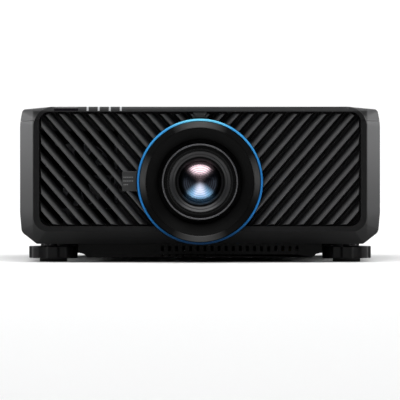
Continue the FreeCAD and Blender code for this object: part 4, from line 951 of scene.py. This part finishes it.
for foot, (x, y) in FEET.items():
    middle = Vector((x, y, 0)) * MM
    knob = bmesh.new()
    add_disc(knob, middle, (KNOB_LOW + KNOB_HIGH) / 2, KNOB, KNOB_HIGH - KNOB_LOW, steps=96)
    scallops = bmesh.new()
    for k in range(SCALLOPS):
        turn = math.tau * (k + 0.5) / SCALLOPS
        out = Vector((math.cos(turn), math.sin(turn), 0)) * (KNOB + SCALLOP_OUT)
        add_disc(scallops, middle + out, KNOB_LOW, SCALLOP, 60 * MM, steps=48)
    knob = carve(knob, scallops)
    finish_piece(f"knob_{foot}", knob, f"{foot}_knob", FOOT_PLASTIC, edge=1.1 * MM,
                 segments=3)
    stud = bmesh.new()
    add_disc(stud, middle, 41.4 * MM, 5 * MM, 41 * MM, steps=40)
    add_disc(stud, middle, 3.4 * MM, 7.9 * MM, 2.6 * MM, steps=48)
    finish_piece(f"stud_{foot}", stud, f"{foot}_knob", BLACK_OXIDE, [f"foot_knob_{foot}"],
                 edge=0.3 * MM)
    pad = bmesh.new()
    add_disc(pad, middle, 1 * MM, PAD, 2 * MM, steps=72)
    cup = bmesh.new()
    add_disc(cup, middle, 3.35 * MM, PAD, 2.7 * MM, steps=72)
    hole = bmesh.new()
    add_disc(hole, middle, 3.4 * MM, SOCKET, 3.8 * MM, steps=48)
    finish_piece(f"pad_{foot}", joined(pad, carve(cup, hole)), f"{foot}_pad", PAD_RUBBER,
                 [f"foot_pad_{foot}"], edge=0.5 * MM)

# %% [markdown]
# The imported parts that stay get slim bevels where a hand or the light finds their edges. Their faces come
# in flat triangles, so vertices at the same place are welded first; otherwise a bevel would open every
# triangle.

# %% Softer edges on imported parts
SOFTENED = {"rear_panel": 0.3, "io_ports": 0.15, "ac_inlet": 0.4, "power_switch": 0.4, "filter_cover": 0.5,
            "bottom_chassis": 0.4, "front_fan_rotor": 0.2}
SOFTENED.update({name: 0.4 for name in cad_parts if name.endswith("_key")})
for name, width in SOFTENED.items():
    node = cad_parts[name]
    weld = node.modifiers.new("weld", "WELD")
    weld.merge_threshold = 0.02 * MM
    round_edges(node, width * MM)
    node.modifiers.new("flat faces", "WEIGHTED_NORMAL").keep_sharp = True
print(f"{len(SOFTENED)} packed parts have softer edges")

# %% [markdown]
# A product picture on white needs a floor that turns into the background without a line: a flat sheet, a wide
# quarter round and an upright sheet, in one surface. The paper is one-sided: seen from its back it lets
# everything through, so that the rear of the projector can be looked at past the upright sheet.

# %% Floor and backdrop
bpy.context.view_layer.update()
sweep = bmesh.new()
BEND, BEND_STEPS, SHEET_HALF, SHEET_TOP = 0.9, 16, 4, 3.4
quarter = [math.pi / 2 * k / BEND_STEPS for k in range(1, BEND_STEPS + 1)]
path = [(-6.0, 0.0), (-1.2, 0.0), (BEND, 0.0)]
path += [(BEND + BEND * math.sin(t), BEND - BEND * math.cos(t)) for t in quarter]
path.append((2 * BEND, SHEET_TOP))
line = [sweep.verts.new((-SHEET_HALF, y, z)) for y, z in path]
edges = [sweep.edges.new(pair) for pair in zip(line, line[1:])]
across = bmesh.ops.extrude_edge_only(sweep, edges=edges)["geom"]
bmesh.ops.translate(sweep, vec=(2 * SHEET_HALF, 0, 0), verts=verts_of(across))
sweep.normal_update()
if sum(f.normal.z for f in sweep.faces) < 0:
    bmesh.ops.reverse_faces(sweep, faces=sweep.faces)
mesh = bpy.data.meshes.new("floor_sweep")
sweep.to_mesh(mesh)
sweep.free()
mesh.shade_smooth()
floor = bpy.data.objects.new("floor_sweep", mesh)
bpy.context.scene.collection.objects.link(floor)
paper, tree, principled = shader("white paper", (0.88, 0.88, 0.88), 0.75, specular=0.2)
facing = tree.nodes.new("ShaderNodeNewGeometry")
one_sided = tree.nodes.new("ShaderNodeMixShader")
tree.links.new(facing.outputs["Backfacing"], one_sided.inputs["Fac"])
tree.links.new(principled.outputs["BSDF"], one_sided.inputs[1])
tree.links.new(tree.nodes.new("ShaderNodeBsdfTransparent").outputs["BSDF"], one_sided.inputs[2])
tree.links.new(one_sided.outputs["Shader"], tree.nodes["Material Output"].inputs["Surface"])
mesh.materials.append(paper)
print("the floor and backdrop are one sweep")

# %% [markdown]
# A broad panel over the floor in front gives the bars and the feet their rounded look, and a small key
# above adds a little shape. A weak card high in front is there only for the glass to reflect. On each side
# a narrow light beside the case reaches the chamfer alone, and a low strip in front rakes the trim ring.
# The last one lifts the backdrop.

# %% Lights
def soft_light(name, place, target, size, power):
    """A rectangular light that looks at its target."""
    data = bpy.data.lights.new(name, "AREA")
    data.shape = "RECTANGLE"
    data.size, data.size_y = size
    data.energy = power
    light = bpy.data.objects.new(name, data)
    bpy.context.scene.collection.objects.link(light)
    light.location = place
    light.rotation_euler = (Vector(target) - Vector(place)).to_track_quat("-Z", "Y").to_euler()
    return light


MIDDLE, LENS_FACE = (0, -0.2, 0.1), (0, -0.25, LENS.z)
soft_light("overhead", (0, -3.0, 3.2), (0, -2.7, 0), (5.0, 5.0), 310)
soft_light("key", (0, -0.7, 1.6), MIDDLE, (1.6, 0.5), 9)
soft_light("lens card", (0, -1.6, 1.3), LENS_FACE, (0.45, 0.9), 0.3)
for side, name in ((-1, "left"), (1, "right")):
    narrow = soft_light(f"{name} side", (side * 0.9, -0.02, 0.35), (side * 0.23, -0.22, 0.15),
                        (0.25, 0.35), 0.7)
    narrow.data.spread = math.radians(50)
    soft_light(f"{name} strip", (side * 1.4, -1.4, 0.15), LENS_FACE, (0.25, 0.4), 1.5)
soft_light("backdrop", (0, 0.4, 2.6), (0, 1.6, 0.3), (3.0, 1.0), 78)
print(f"{len(bpy.data.lights)} soft lights")

# %% [markdown]
# The room itself lights very little. Past the edge of the sheet the camera sees plain white, so every view of
# the object has the same white round it, while reflections still find the dim room.

# %% Room and exposure
room = bpy.data.worlds.new("studio")
bpy.context.scene.world = room
room.use_nodes = True
tree = room.node_tree
fill = tree.nodes["Background"]
fill.inputs["Color"].default_value = (0.8, 0.85, 0.9, 1)
fill.inputs["Strength"].default_value = 0.08
white = tree.nodes.new("ShaderNodeBackground")
white.inputs["Strength"].default_value = 2.5
rays = tree.nodes.new("ShaderNodeLightPath")
either = tree.nodes.new("ShaderNodeMixShader")
tree.links.new(rays.outputs["Is Camera Ray"], either.inputs["Fac"])
tree.links.new(fill.outputs["Background"], either.inputs[1])
tree.links.new(white.outputs["Background"], either.inputs[2])
tree.links.new(either.outputs["Shader"], tree.nodes["World Output"].inputs["Surface"])
view = bpy.context.scene.view_settings
view.view_transform = "Standard"
view.exposure = -0.8
print(f"a weak fill from the room, exposure {view.exposure:.1f}")

# %% [markdown]
# The camera stands five metres away with a long lens, level with the projector's own, so the front shows
# almost without perspective. The lens shift moves the picture down and keeps the upright edges upright.

# %% Camera, level with the lens
CAMERA_AWAY, FOCAL_LENGTH, SHIFT = 5.217, 337.5, -0.0456
camera_data = bpy.data.cameras.new("camera")
camera = bpy.data.objects.new("camera", camera_data)
bpy.context.scene.collection.objects.link(camera)
camera.location = (0, -CAMERA_AWAY, LENS.z)
camera.rotation_euler = (math.pi / 2, 0, 0)
camera_data.sensor_width = 36
camera_data.lens = FOCAL_LENGTH
camera_data.shift_y = SHIFT
bpy.context.scene.camera = camera
print(f"camera at {tuple(round(c, 3) for c in camera.location)}")
